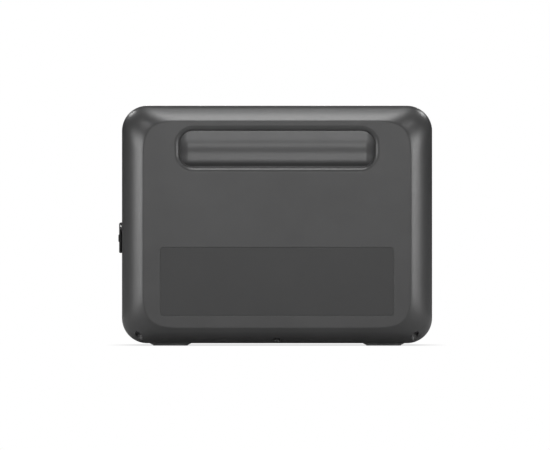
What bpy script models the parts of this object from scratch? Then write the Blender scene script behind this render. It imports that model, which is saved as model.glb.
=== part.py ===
"""Portable power station of about 1 kWh: two moulded shells with a hand grip in each big face.

Frame: +Z up, metres. The user's side (display, outlets) faces -Y and the back faces +Y.
The origin is on the surface that the station stands on, under the middle of the case.
Every piece is a closed solid of its own. A moving piece has its origin on its joint's axis.
"""

import math

import bmesh
import bpy
from mathutils import Matrix, Vector

# ---- Case ----
WIDTH = 0.320
DEPTH = 0.215
BASE_Z = 0.0025  # underside of the case, above the feet
TOP_Z = 0.2475
WALL = 0.003
GAP = 0.0003  # clearance between two pieces that touch or nest
SPLIT_Y = -0.050  # the shells meet here
SPLIT_GAP = 0.0005
SPLIT_CHAMFER = 0.0006

HALF_W = WIDTH / 2
HALF_D = DEPTH / 2
MID_Z = (BASE_Z + TOP_Z) / 2
HALF_H = (TOP_Z - BASE_Z) / 2

# The big faces: a flat panel inside a rounded band that runs out to the case's outline.
CASE_CORNER = 0.026
PANEL_CORNER = 0.052
PANEL_POWER = 4.2  # superellipse power of the panel's corners; 2 is a circle
BAND_DEPTH = 0.030
BAND_SIDE = 0.0217  # how far the panel's edge lies inside the outline, at the sides
BAND_TOP = 0.0158
BAND_SWEEP = math.radians(45)  # part of an ellipse's quarter that the band's section covers
BAND_RINGS = 6
CORNER_STEPS = 7

# ---- Hand grips ----
GRIP_Z = 0.2029
GRIP_HALF_W = 0.1003
GRIP_HALF_H = 0.0185
GRIP_CORNER = 0.014
LIP = 0.006  # radius of the rounded lip round the opening
GRIP_BOSS_Y = 0.1005  # back of the thick rim that carries the lip
CUP_WALL = 0.0025
CUP_HALF_W = 0.1005  # half width of the hollow
CUP_END = 0.010  # radius where the back wall turns into the ends
CUP_FLOOR_Z = 0.1815
CUP_ROOF_Z = 0.2285
BULGE_Y = 0.0898  # the cup's back wall at the height of its ridge
BULGE_Z = 0.2018
# Height, and how many degrees the back wall leans back there.
CUP_TILTS = ((0.2285, 22), (0.2140, 19), (0.2018, -3), (0.1945, 8), (0.1863, -14), (0.1815, -14))

# ---- Rating label on the back ----
LABEL_Z = 0.0661
LABEL_HALF_W = 0.12015
LABEL_HALF_H = 0.0351
LABEL_CORNER = 0.0035
LABEL_RECESS = 0.0007

# ---- Feet and case screws ----
FOOT_X = 0.110
FOOT_Y = 0.065
FOOT_TREAD = (0.0180, 0.0095)  # half sizes of the face that meets the floor
FOOT_SEAT = (0.0215, 0.0120)
FOOT_RECESS = 0.0012
SCREW_X = 0.1423
SCREW_Y = 0.0926
SCREW_BORE = 0.00385
SCREW_SEAT_Z = 0.0160
SCREW_BOSS_Z = 0.0240
SCREW_BOSS_RADIUS = 0.0065
SCREW_HOLE = 0.0024

# ---- Side openings: a vent in each side, the charging inputs on the right ----
SIDE_Y = 0.015
VENT_Z = 0.180
VENT_HALF = (0.048, 0.038)
VENT_CORNER = 0.006
VENT_SLOTS = 9
VENT_PITCH = 0.0075
VENT_SLOT = (0.042, 0.0018)
INPUT_Z = 0.1112
INPUT_HALF = (0.050, 0.021)
INPUT_CORNER = 0.005

# ---- Input door ----
PIN_X = 0.1613
PIN_Z = 0.1234
PIN_RADIUS = 0.0009
KNUCKLE = 0.0019
DOOR_HALF_W = 0.0400
DOOR_BOTTOM_Z = 0.0955
DOOR_FACE_X = 0.1632
DOOR_BACK_X = 0.1607
TAB_HALF = (0.012, 0.0038)
TAB_FACE_X = 0.1643
EAR_THICK = 0.004

# ---- Inputs behind the door ----
INLET_Y = SIDE_Y - 0.020
INLET_HALF = (0.0140, 0.0105)
SOLAR_Y = SIDE_Y + 0.012
SOLAR_HALF = (0.0085, 0.0050)
SOLAR_CONTACT = 0.0046  # how far each contact lies from the connector's middle
RESET_Y = SIDE_Y + 0.031
RESET_RADIUS = 0.0040

# ---- Front fascia ----
FASCIA_Z = 0.100
FASCIA_HALF = (0.128, 0.070)
FASCIA_CORNER = 0.010
FASCIA_Y = -0.1055  # front surface, 2 mm inside the shell's panel
FASCIA_THICK = 0.0025
WINDOW = (-0.066, 0.136)  # centre, X and Z
WINDOW_HALF = (0.050, 0.024)
OUTLET_XS = (0.040, 0.092)
OUTLET_ZS = (0.138, 0.090)
OUTLET_HALF = (0.0225, 0.0205)
OUTLET_DEPTH = 0.014
USB_A_X = -0.040
USB_C_X = -0.014
USB_ZS = (0.084, 0.068)
USB_DEPTH = 0.0125
CAR = (-0.098, 0.078)
CAR_BORE = 0.0106
CAR_SLEEVE = 0.0135
CAR_FLANGE = 0.0165
CAR_DEPTH = 0.038
CAP_HINGE = 0.0200  # height of the cap's hinge above the socket's centre
POWER = (-0.098, 0.045)
POWER_RADIUS = 0.0080
DC = (-0.027, 0.045)
AC = (0.066, 0.049)
BUTTON_RADIUS = 0.0065
BUTTON_PROUD = 0.0016

# ---- Inside ----
CELLS = 8
CELL = (0.0270, 0.148, 0.094)
CELL_PITCH = 0.0275
BATTERY_Y = 0.010  # the pack sits back from the deep sockets in the front
TRAY_Z = BASE_Z + WALL + GAP
TRAY_THICK = 0.0015
TRAY_HALF_D = 0.0640  # its floor ends short of the shells' rounded lower edges
SHELF_Z = 0.1200
FAN_HALF = 0.035
FAN_THICK = 0.015
FAN_BORE = 0.0325
FAN_HUB = 0.0125
FAN_BLADES = 7
FAN_X = HALF_W - WALL - GAP - FAN_THICK / 2  # middle of the fan's thickness


# ---- Materials ----
def material(name, colour, roughness, metallic=0.0):
    made = bpy.data.materials.get(name) or bpy.data.materials.new(name)
    made.use_nodes = True
    shader = made.node_tree.nodes["Principled BSDF"]
    shader.inputs["Base Color"].default_value = (*colour, 1.0)
    shader.inputs["Roughness"].default_value = roughness
    shader.inputs["Metallic"].default_value = metallic
    return made


def grey(level):
    return (level, level, level)


def case_plastic():
    return material("case_plastic", grey(0.075), 0.45)


def fascia_plastic():
    return material("fascia_plastic", grey(0.02), 0.35)


def label_film():
    return material("label_film", grey(0.055), 0.5)


def soft_rubber():
    return material("soft_rubber", grey(0.03), 0.75)


def socket_plastic():
    return material("socket_plastic", grey(0.03), 0.4)


def key_plastic():
    return material("key_plastic", grey(0.12), 0.35)


def window_glass():
    return material("window_glass", grey(0.01), 0.1)


def plated_steel():
    return material("plated_steel", grey(0.6), 0.3, 1.0)


def bare_aluminium():
    return material("bare_aluminium", grey(0.7), 0.4, 1.0)


def cell_wrap():
    return material("cell_wrap", (0.05, 0.14, 0.35), 0.4)


def circuit_board():
    return material("circuit_board", (0.02, 0.16, 0.07), 0.5)


def fan_plastic():
    return material("fan_plastic", grey(0.015), 0.5)


def copper():
    return material("copper", (0.75, 0.35, 0.2), 0.35, 1.0)


# ---- Outlines: closed lists of (u, v) points round a centre ----
def rounded(half_u, half_v, corner, steps=3, power=2.0):
    """A rectangle with superellipse corners, counter-clockwise from the middle of the +u side."""
    points = []
    for su, sv, backwards in ((1, 1, False), (-1, 1, True), (-1, -1, False), (1, -1, True)):
        order = range(steps, -1, -1) if backwards else range(steps + 1)
        for i in order:
            angle = math.pi / 2 * i / steps
            u = half_u - corner + corner * math.cos(angle) ** (2 / power) if i < steps else half_u - corner
            v = half_v - corner + corner * math.sin(angle) ** (2 / power) if i else half_v - corner
            points.append((su * u, sv * v))
    return points


def circle(radius, steps):
    return [
        (radius * math.cos(math.tau * i / steps), radius * math.sin(math.tau * i / steps))
        for i in range(steps)
    ]


def place(u, v, w, axis):
    """A point of an outline at the height w along an axis: an X outline lies in Y and Z, and so on."""
    return {"X": (w, u, v), "Y": (u, w, v), "Z": (u, v, w)}[axis]


# ---- Solids ----
def solid(name, rings, finish, location=(0, 0, 0)):
    """A closed solid whose skin runs through rings of equal length, with a flat cap on each end."""
    work = bmesh.new()
    rows = [[work.verts.new(point) for point in ring] for ring in rings]
    count = len(rows[0])
    for near, far in zip(rows, rows[1:]):
        for i in range(count):
            j = (i + 1) % count
            work.faces.new((near[i], near[j], far[j], far[i]))
    work.faces.new(rows[0])
    work.faces.new(rows[-1])
    bmesh.ops.recalc_face_normals(work, faces=work.faces)
    mesh = bpy.data.meshes.new(name)
    work.to_mesh(mesh)
    work.free()
    mesh.shade_smooth()
    mesh.set_sharp_from_angle(angle=math.radians(32))
    mesh.materials.append(finish)
    made = bpy.data.objects.new(name, mesh)
    made.location = location
    bpy.context.scene.collection.objects.link(made)
    return made


def stack(name, layers, axis, finish, location=(0, 0, 0), steps=3):
    """A loft through rounded rectangles: each layer is (half_u, half_v, corner, w)."""
    rings = [
        [place(u, v, w, axis) for u, v in rounded(half_u, half_v, corner, steps)]
        for half_u, half_v, corner, w in layers
    ]
    return solid(name, rings, finish, location)


def turned(name, profile, axis, finish, location=(0, 0, 0), steps=20):
    """A turned solid: each entry of the profile is (radius, w)."""
    rings = [[place(u, v, w, axis) for u, v in circle(radius, steps)] for radius, w in profile]
    return solid(name, rings, finish, location)


def block(name, low, high, finish, location=(0, 0, 0)):
    corners = ((low[0], low[1]), (high[0], low[1]), (high[0], high[1]), (low[0], high[1]))
    rings = [[(x, y, z) for x, y in corners] for z in (low[2], high[2])]
    return solid(name, rings, finish, location)


def boolean(target, tool, operation):
    tool.hide_render = True
    tool.display_type = "WIRE"
    step = target.modifiers.new(f"{operation.lower()}_{tool.name}", "BOOLEAN")
    step.operation = operation
    step.solver = "EXACT"
    step.object = tool
    return target


def cut(target, tool):
    return boolean(target, tool, "DIFFERENCE")


def weld(target, tool):
    return boolean(target, tool, "UNION")


# ---- The two shells ----
def band_ring(sweep, inset=0.0):
    """One ring of the case's skin: sweep 0 is the straight side wall, 1 the panel's edge."""
    angle = BAND_SWEEP * sweep
    inward = (1 - math.cos(angle)) / (1 - math.cos(BAND_SWEEP))
    along = math.sin(angle) / math.sin(BAND_SWEEP)
    outline = rounded(
        HALF_W - inset - BAND_SIDE * inward,
        HALF_H - inset - BAND_TOP * inward,
        CASE_CORNER - inset + (PANEL_CORNER - CASE_CORNER) * inward,
        CORNER_STEPS,
        2 + (PANEL_POWER - 2) * inward,
    )
    y = HALF_D - inset - BAND_DEPTH * (1 - along)
    return outline, y


def skin_rings(facing, start_y, inset=0.0, chamfer=0.0):
    """Rings from a shell's open edge at start_y out to its panel; facing is +1 for the back."""
    outline, _ = band_ring(0, inset)
    rings = []
    if chamfer:
        edge, _ = band_ring(0, inset + chamfer)
        rings.append((edge, start_y))
        start_y += facing * chamfer
    rings.append((outline, start_y))
    for i in range(BAND_RINGS + 1):
        outline, y = band_ring(i / BAND_RINGS, inset)
        rings.append((outline, facing * y))
    return [[(u, y, v + MID_Z) for u, v in outline] for outline, y in rings]


def lip_cutter(name, facing):
    """The grip's opening, with its mouth flared as a quarter-round lip."""
    lead = math.radians(10)
    reach = 0.004
    entry = (
        LIP * math.sin(lead) - reach * math.cos(lead),
        LIP * (1 - math.cos(lead)) - reach * math.sin(lead),
    )
    arc = [(LIP * math.sin(a), LIP * (1 - math.cos(a))) for a in map(math.radians, (22, 45, 67, 90))]
    past_rim = (LIP, HALF_D - GRIP_BOSS_Y + LIP)
    layers = [
        (
            GRIP_HALF_W + LIP - inward,
            GRIP_HALF_H + LIP - inward,
            GRIP_CORNER + LIP - inward,
            facing * (HALF_D - depth),
        )
        for inward, depth in (entry, *arc, past_rim)
    ]
    return stack(name, layers, "Y", case_plastic(), (0, 0, GRIP_Z), steps=5)


def shell(name, facing):
    """One moulded shell: skin, hollow, grip rim, screw bosses, and seats for feet and screws."""
    start_y = SPLIT_Y + facing * SPLIT_GAP / 2
    body = solid(name, skin_rings(facing, start_y, chamfer=SPLIT_CHAMFER), case_plastic())
    hollow = solid(f"{name}_hollow", skin_rings(facing, start_y - facing * WALL, WALL), case_plastic())
    rim = stack(
        f"{name}_grip_rim",
        [
            (GRIP_HALF_W + LIP + 0.004, GRIP_HALF_H + LIP + 0.002, GRIP_CORNER + LIP, facing * y)
            for y in (GRIP_BOSS_Y, HALF_D + WALL)
        ],
        "Y",
        case_plastic(),
        (0, 0, GRIP_Z),
    )
    cut(hollow, rim)
    for i, x in enumerate((-SCREW_X, 0, SCREW_X)):
        spot = (x, facing * SCREW_Y, 0)
        boss = turned(
            f"{name}_boss_{i}",
            [(SCREW_BOSS_RADIUS, -0.005), (SCREW_BOSS_RADIUS, SCREW_BOSS_Z)],
            "Z",
            case_plastic(),
            spot,
            steps=12,
        )
        cut(hollow, boss)
    cut(body, hollow)
    cut(body, lip_cutter(f"{name}_lip", facing))
    for i, x in enumerate((-SCREW_X, 0, SCREW_X)):
        bore = turned(
            f"{name}_bore_{i}",
            [
                (SCREW_BORE, -0.005),
                (SCREW_BORE, SCREW_SEAT_Z),
                (SCREW_HOLE, SCREW_SEAT_Z),
                (SCREW_HOLE, SCREW_BOSS_Z + 0.004),
            ],
            "Z",
            case_plastic(),
            (x, facing * SCREW_Y, 0),
            steps=16,
        )
        cut(body, bore)
    for i, x in enumerate((-FOOT_X, FOOT_X)):
        seat_u, seat_v = FOOT_SEAT
        seat = stack(
            f"{name}_foot_seat_{i}",
            [
                (seat_u + GAP, seat_v + GAP, 0.004, z)
                for z in (BASE_Z - 0.004, BASE_Z + FOOT_RECESS)
            ],
            "Z",
            case_plastic(),
            (x, facing * FOOT_Y, 0),
        )
        cut(body, seat)
    return body


def side_opening(name, half, corner, z, side):
    """A cutter through one side wall, a clearance larger than what sits in it."""
    return stack(
        name,
        [
            (half[0] + GAP, half[1] + GAP, corner + GAP, side * x)
            for x in (HALF_W - 2 * WALL, HALF_W + WALL)
        ],
        "X",
        case_plastic(),
        (0, SIDE_Y, z),
    )


def rear_shell():
    body = shell("rear_shell", 1)
    recess = stack(
        "label_recess",
        [
            (LABEL_HALF_W + GAP, LABEL_HALF_H + GAP, LABEL_CORNER + GAP, y)
            for y in (HALF_D - LABEL_RECESS, HALF_D + WALL)
        ],
        "Y",
        case_plastic(),
        (0, 0, LABEL_Z),
    )
    cut(body, recess)
    cut(body, side_opening("left_vent_opening", VENT_HALF, VENT_CORNER, VENT_Z, -1))
    cut(body, side_opening("right_vent_opening", VENT_HALF, VENT_CORNER, VENT_Z, 1))
    cut(body, side_opening("input_opening", INPUT_HALF, INPUT_CORNER, INPUT_Z, 1))


def front_shell():
    body = shell("front_shell", -1)
    opening = stack(
        "fascia_opening",
        [
            (FASCIA_HALF[0] + GAP, FASCIA_HALF[1] + GAP, FASCIA_CORNER + GAP, y)
            for y in (-HALF_D - WALL, -HALF_D + 2 * WALL)
        ],
        "Y",
        case_plastic(),
        (0, 0, FASCIA_Z),
    )
    cut(body, opening)


# ---- Grip cups ----
def cup_tilt(z):
    """The lean of the cup's back wall at a height, in radians."""
    for (high, above), (low, below) in zip(CUP_TILTS, CUP_TILTS[1:]):
        if z >= low:
            return math.radians(below + (above - below) * (z - low) / (high - low))
    return math.radians(CUP_TILTS[-1][1])


def cup_wall_y(z):
    """The cup's back wall rolls towards the hand, and falls away above for the fingers."""
    steps = 24
    rise = (z - BULGE_Z) / steps
    return BULGE_Y - sum(math.tan(cup_tilt(BULGE_Z + rise * (i + 0.5))) for i in range(steps)) * rise


def grip_cup(name, facing):
    """A pocket behind the lip, deeper and higher than the opening so that fingers hook behind it."""
    front = GRIP_BOSS_Y - GAP
    roof, floor = CUP_ROOF_Z, CUP_FLOOR_Z
    round_roof, round_floor = 0.006, 0.004
    steps = 9
    back = [
        floor + round_floor + (roof - round_roof - floor - round_floor) * i / steps
        for i in range(steps + 1)
    ]
    past_front = front + 0.004
    profile = [(past_front, roof), (cup_wall_y(roof) + round_roof, roof)]
    profile += [(cup_wall_y(z), z) for z in reversed(back)]
    profile += [(cup_wall_y(floor) + round_floor, floor), (past_front, floor)]
    deepest = min(y for y, _ in profile) - CUP_WALL
    shape = block(
        name,
        (-CUP_HALF_W - CUP_WALL, deepest, floor - CUP_WALL),
        (CUP_HALF_W + CUP_WALL, front, roof + CUP_WALL),
        case_plastic(),
    )
    ends = [
        (CUP_HALF_W - CUP_END * (1 - math.cos(a)), CUP_END * (1 - math.sin(a)))
        for a in map(math.radians, (0, 22.5, 45, 67.5, 90))
    ]
    stations = [(-x, lift) for x, lift in ends] + [(x, lift) for x, lift in reversed(ends)]
    hollow = solid(
        f"{name}_hollow",
        [[(x, min(y + lift, past_front), z) for y, z in profile] for x, lift in stations],
        case_plastic(),
    )
    cut(shape, hollow)
    if facing < 0:
        shape.scale.y = -1
        hollow.scale.y = -1
    return shape


def rating_label():
    back = HALF_D - LABEL_RECESS + GAP
    stack(
        "rating_label",
        [(LABEL_HALF_W, LABEL_HALF_H, LABEL_CORNER, y) for y in (back, HALF_D)],
        "Y",
        label_film(),
        (0, 0, LABEL_Z),
    )


# ---- Feet and screws ----
def feet():
    tread_u, tread_v = FOOT_TREAD
    seat_u, seat_v = FOOT_SEAT
    for end, facing in (("rear", 1), ("front", -1)):
        for side, sign in (("left", -1), ("right", 1)):
            stack(
                f"foot_{end}_{side}",
                [
                    (tread_u, tread_v, 0.003, 0.0),
                    (seat_u, seat_v, 0.004, BASE_Z),
                    (seat_u, seat_v, 0.004, BASE_Z + FOOT_RECESS - GAP),
                ],
                "Z",
                soft_rubber(),
                (sign * FOOT_X, facing * FOOT_Y, 0),
            )


def case_screws():
    """Screws driven up from below, with a cross recess's depth left as a shallow round dimple."""
    head, shank, dimple = 0.0034, 0.0019, 0.0016
    head_low = SCREW_SEAT_Z - 0.0030
    head_top = SCREW_SEAT_Z - GAP
    for end, facing in (("rear", 1), ("front", -1)):
        for side, x in (("left", -SCREW_X), ("middle", 0), ("right", SCREW_X)):
            turned(
                f"case_screw_{end}_{side}",
                [
                    (dimple, head_low + 0.0012),
                    (dimple, head_low),
                    (head - 0.0008, head_low),
                    (head, head_low + 0.0010),
                    (head, head_top),
                    (shank, head_top),
                    (shank, SCREW_BOSS_Z + 0.006),
                ],
                "Z",
                plated_steel(),
                (x, facing * SCREW_Y, 0),
                steps=12,
            )


# ---- Vents and fans ----
def vent_grille(name, side):
    plate = stack(
        name,
        [
            (VENT_HALF[0], VENT_HALF[1], VENT_CORNER, side * (HALF_W - WALL)),
            (VENT_HALF[0], VENT_HALF[1], VENT_CORNER, side * HALF_W),
        ],
        "X",
        fascia_plastic(),
        (0, SIDE_Y, VENT_Z),
    )
    for i in range(VENT_SLOTS):
        z = VENT_Z + (i - (VENT_SLOTS - 1) / 2) * VENT_PITCH
        slot = stack(
            f"{name}_slot_{i}",
            [
                (VENT_SLOT[0], VENT_SLOT[1], VENT_SLOT[1] * 0.9, side * x)
                for x in (HALF_W - 2 * WALL, HALF_W + WALL)
            ],
            "X",
            fascia_plastic(),
            (0, SIDE_Y, z),
            steps=1,
        )
        cut(plate, slot)
    return plate


def fan(label, side):
    """A square frame with struts to the motor seat, and a rotor that spins inside it about X."""
    centre = (side * FAN_X, SIDE_Y, VENT_Z)
    half = FAN_THICK / 2
    frame = stack(
        f"fan_frame_{label}",
        [(FAN_HALF, FAN_HALF, 0.004, -half), (FAN_HALF, FAN_HALF, 0.004, half)],
        "X",
        fan_plastic(),
        centre,
        steps=2,
    )
    bore = turned(
        f"fan_bore_{label}",
        [(FAN_BORE, -2 * half), (FAN_BORE, 2 * half)],
        "X",
        fan_plastic(),
        centre,
        steps=28,
    )
    cut(frame, bore)
    inner = -side * half
    seat = turned(
        f"fan_seat_{label}",
        [(FAN_HUB, inner), (FAN_HUB, inner + side * 0.002)],
        "X",
        fan_plastic(),
        centre,
        steps=14,
    )
    for i in range(3):
        strut = block(
            f"fan_strut_{label}_{i}",
            (-0.0009, 0.0, -0.0016),
            (0.0009, FAN_BORE + 0.0015, 0.0016),
            fan_plastic(),
            (centre[0] + inner + side * 0.00105, centre[1], centre[2]),
        )
        strut.rotation_euler.x = math.tau * (i + 0.5) / 3
        weld(seat, strut)
    weld(frame, seat)
    rotor = turned(
        f"fan_rotor_{label}",
        [
            (FAN_HUB, inner + side * 0.0026),
            (FAN_HUB, -inner - side * 0.0012),
            (FAN_HUB - 0.0008, -inner - side * 0.0004),
        ],
        "X",
        fan_plastic(),
        centre,
        steps=14,
    )
    for i in range(FAN_BLADES):
        blade = block(
            f"fan_blade_{label}_{i}",
            (-0.0050, FAN_HUB - 0.0020, -0.0005),
            (0.0050, FAN_BORE - 0.0015, 0.0005),
            fan_plastic(),
            (centre[0] + side * 0.0008, centre[1], centre[2]),
        )
        spin = Matrix.Rotation(math.tau * i / FAN_BLADES, 3, "X")
        pitch = Matrix.Rotation(math.radians(side * 38), 3, "Y")
        blade.rotation_euler = (spin @ pitch).to_euler()
        weld(rotor, blade)


# ---- Charging inputs on the right side ----
def input_bezel():
    """The plate in the side wall that carries the inputs, the hinge ears and the door's seat."""
    outer, inner = HALF_W, HALF_W - WALL
    plate = stack(
        "input_bezel",
        [(INPUT_HALF[0], INPUT_HALF[1], INPUT_CORNER, x) for x in (inner, outer)],
        "X",
        fascia_plastic(),
        (0, SIDE_Y, INPUT_Z),
    )
    for i, sign in enumerate((-1, 1)):
        near = SIDE_Y + sign * (DOOR_HALF_W + GAP)
        far = near + sign * EAR_THICK
        ear = solid(
            f"hinge_ear_{i}",
            [
                [
                    (x, y, z)
                    for x, z in (
                        (outer - 0.001, PIN_Z - 0.0045),
                        (DOOR_FACE_X - 0.0012, PIN_Z - 0.0040),
                        (DOOR_FACE_X, PIN_Z - 0.0026),
                        (DOOR_FACE_X, PIN_Z + 0.0020),
                        (DOOR_FACE_X - 0.0012, PIN_Z + 0.0036),
                        (outer - 0.001, PIN_Z + 0.0040),
                    )
                ]
                for y in (near, far)
            ],
            fascia_plastic(),
        )
        weld(plate, ear)
    pin_bore = turned(
        "hinge_pin_bore",
        [(PIN_RADIUS + GAP, -0.05), (PIN_RADIUS + GAP, 0.05)],
        "Y",
        fascia_plastic(),
        (PIN_X, SIDE_Y, PIN_Z),
        steps=12,
    )
    cut(plate, pin_bore)
    knuckle_trough = block(
        "knuckle_trough",
        (outer - 0.0020, SIDE_Y - DOOR_HALF_W - GAP, PIN_Z - 0.0040),
        (outer + 0.0040, SIDE_Y + DOOR_HALF_W + GAP, PIN_Z + 0.0026),
        fascia_plastic(),
    )
    cut(plate, knuckle_trough)
    for label, y, half in (("inlet", INLET_Y, INLET_HALF), ("solar", SOLAR_Y, SOLAR_HALF)):
        hole = stack(
            f"{label}_hole",
            [
                (half[0] + GAP, half[1] + GAP, 0.002, x)
                for x in (inner - WALL, outer + WALL)
            ],
            "X",
            fascia_plastic(),
            (0, y, INPUT_Z),
            steps=2,
        )
        cut(plate, hole)
    reset_hole = turned(
        "reset_hole",
        [(RESET_RADIUS + GAP, inner - WALL), (RESET_RADIUS + GAP, outer + WALL)],
        "X",
        fascia_plastic(),
        (0, RESET_Y, INPUT_Z),
        steps=16,
    )
    cut(plate, reset_hole)


def input_door():
    """A flap over the inputs that swings up on its pin; the rib across its middle is the pull."""
    steps = 8
    knuckle = [
        (KNUCKLE * math.cos(a), KNUCKLE * math.sin(a))
        for a in (math.pi * (i / steps) for i in range(steps + 1))
    ]
    face = DOOR_FACE_X - PIN_X
    back = DOOR_BACK_X - PIN_X
    low = DOOR_BOTTOM_Z - PIN_Z
    profile = [
        *knuckle,
        (-KNUCKLE, -0.0008),
        (back, -0.0022),
        (back, low + 0.0008),
        (back + 0.0008, low),
        (face - 0.0012, low),
        (face, low + 0.0012),
    ]
    door = solid(
        "input_door",
        [[(x, y, z) for x, z in profile] for y in (-DOOR_HALF_W, DOOR_HALF_W)],
        soft_rubber(),
        (PIN_X, SIDE_Y, PIN_Z),
    )
    bore = turned(
        "door_bore",
        [(PIN_RADIUS + GAP, -0.05), (PIN_RADIUS + GAP, 0.05)],
        "Y",
        soft_rubber(),
        (PIN_X, SIDE_Y, PIN_Z),
        steps=12,
    )
    cut(door, bore)
    rib = stack(
        "door_rib",
        [
            (TAB_HALF[0], TAB_HALF[1], 0.002, DOOR_FACE_X - 0.001),
            (TAB_HALF[0], TAB_HALF[1], 0.002, TAB_FACE_X - 0.0006),
            (TAB_HALF[0] - 0.0006, TAB_HALF[1] - 0.0010, 0.002, TAB_FACE_X),
        ],
        "X",
        soft_rubber(),
        (0, SIDE_Y, INPUT_Z - 0.0004),
    )
    weld(door, rib)
    turned(
        "hinge_pin",
        [
            (PIN_RADIUS, -DOOR_HALF_W - EAR_THICK - GAP),
            (PIN_RADIUS, DOOR_HALF_W + EAR_THICK + GAP),
        ],
        "Y",
        plated_steel(),
        (PIN_X, SIDE_Y, PIN_Z),
        steps=12,
    )


def ac_inlet():
    """A three-pin appliance inlet: a shrouded cavity with three flat blades."""
    outer = HALF_W - 0.0004
    deep = outer - 0.024
    half_u, half_v = INLET_HALF
    body = stack(
        "ac_inlet",
        [
            (half_u, half_v, 0.002, deep),
            (half_u, half_v, 0.002, outer),
            (half_u - 0.0015, half_v - 0.0015, 0.003, outer),
            (half_u - 0.0015, half_v - 0.0015, 0.003, outer - 0.016),
        ],
        "X",
        socket_plastic(),
        (0, INLET_Y, INPUT_Z),
        steps=2,
    )
    for i, (dy, dz) in enumerate(((-0.007, -0.002), (0.0, 0.003), (0.007, -0.002))):
        blade = block(
            f"inlet_blade_{i}",
            (outer - 0.018, INLET_Y + dy - 0.0010, INPUT_Z + dz - 0.0022),
            (outer - 0.003, INLET_Y + dy + 0.0010, INPUT_Z + dz + 0.0022),
            plated_steel(),
        )
        weld(body, blade)


def solar_inlet():
    """A two-pin DC connector for solar charging."""
    outer = HALF_W - 0.0004
    half_u, half_v = SOLAR_HALF
    body = stack(
        "solar_inlet",
        [
            (half_u, half_v, 0.002, outer - 0.020),
            (half_u, half_v, 0.002, outer),
            (half_u - 0.0010, half_v - 0.0010, 0.0015, outer),
            (half_u - 0.0010, half_v - 0.0010, 0.0015, outer - 0.012),
        ],
        "X",
        socket_plastic(),
        (0, SOLAR_Y, INPUT_Z),
        steps=2,
    )
    for i, dy in enumerate((-SOLAR_CONTACT, SOLAR_CONTACT)):
        contact = turned(
            f"solar_contact_{i}",
            [(0.0018, outer - 0.014), (0.0018, outer - 0.002)],
            "X",
            plated_steel(),
            (0, SOLAR_Y + dy, INPUT_Z),
            steps=10,
        )
        weld(body, contact)


def reset_button():
    """The overload reset: a push button in the bezel, pressed inwards."""
    face = -0.0005
    turned(
        "reset_button",
        [
            (RESET_RADIUS, -0.010),
            (RESET_RADIUS, face - 0.0006),
            (RESET_RADIUS - 0.0006, face),
        ],
        "X",
        key_plastic(),
        (HALF_W, RESET_Y, INPUT_Z),
        steps=16,
    )


# ---- Front: fascia, display, buttons and outlets ----
def fascia_hole(name, shape, fascia):
    cut(fascia, shape(name, fascia_plastic(), FASCIA_Y - WALL, FASCIA_Y + 2 * WALL))


def slab(half_u, half_v, corner, x, z, steps=3):
    """A maker of rounded slabs across the fascia, centred on x and z."""

    def make(name, finish, near, far):
        layers = [(half_u, half_v, corner, near), (half_u, half_v, corner, far)]
        return stack(name, layers, "Y", finish, (x, 0, z), steps)

    return make


def disc(radius, x, z, steps=20):
    def make(name, finish, near, far):
        return turned(name, [(radius, near), (radius, far)], "Y", finish, (x, 0, z), steps)

    return make


def outlet_places():
    return [
        (f"ac_outlet_{row}_{side}", x, z)
        for row, z in zip(("upper", "lower"), OUTLET_ZS)
        for side, x in zip(("left", "right"), OUTLET_XS)
    ]


def usb_places(kind, x):
    return [(f"{kind}_{row}", x, z) for row, z in zip(("upper", "lower"), USB_ZS)]


def front_fascia():
    plate = stack(
        "front_fascia",
        [
            (FASCIA_HALF[0], FASCIA_HALF[1], FASCIA_CORNER, y)
            for y in (FASCIA_Y, FASCIA_Y + FASCIA_THICK)
        ],
        "Y",
        fascia_plastic(),
        (0, 0, FASCIA_Z),
    )
    fascia_hole(
        "window_hole",
        slab(WINDOW_HALF[0] + GAP, WINDOW_HALF[1] + GAP, 0.003, *WINDOW),
        plate,
    )
    for name, x, z in outlet_places():
        half_u, half_v = OUTLET_HALF
        fascia_hole(f"{name}_hole", slab(half_u + GAP, half_v + GAP, 0.004, x, z), plate)
    for name, x, z in usb_places("usb_a", USB_A_X):
        fascia_hole(f"{name}_hole", slab(0.0070 + GAP, 0.0034 + GAP, 0.001, x, z, 1), plate)
    for name, x, z in usb_places("usb_c", USB_C_X):
        fascia_hole(f"{name}_hole", slab(0.0055 + GAP, 0.0026 + GAP, 0.0024, x, z, 2), plate)
    fascia_hole("car_hole", disc(CAR_SLEEVE + GAP, *CAR, 20), plate)
    fascia_hole("power_hole", disc(POWER_RADIUS + GAP, *POWER, 16), plate)
    fascia_hole("dc_hole", disc(BUTTON_RADIUS + GAP, *DC, 16), plate)
    fascia_hole("ac_hole", disc(BUTTON_RADIUS + GAP, *AC, 16), plate)
    anchor = block(
        "cap_anchor",
        (CAR[0] - 0.0070, FASCIA_Y - 0.0040, CAR[1] + CAP_HINGE + 0.0016),
        (CAR[0] + 0.0070, FASCIA_Y + 0.0010, CAR[1] + CAP_HINGE + 0.0046),
        fascia_plastic(),
    )
    weld(plate, anchor)


def display():
    slab(*WINDOW_HALF, 0.003, *WINDOW)("display_window", window_glass(), FASCIA_Y, FASCIA_Y + 0.0015)
    half_u, half_v = WINDOW_HALF[0] - 0.003, WINDOW_HALF[1] - 0.003
    slab(half_u, half_v, 0.001, *WINDOW, 1)(
        "display_module", circuit_board(), FASCIA_Y + 0.0018, FASCIA_Y + 0.0075
    )


def push_button(name, radius, x, z):
    turned(
        name,
        [
            (radius, 0.0045),
            (radius, -BUTTON_PROUD + 0.0006),
            (radius - 0.0006, -BUTTON_PROUD),
        ],
        "Y",
        key_plastic(),
        (x, FASCIA_Y, z),
        steps=16,
    )


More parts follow.
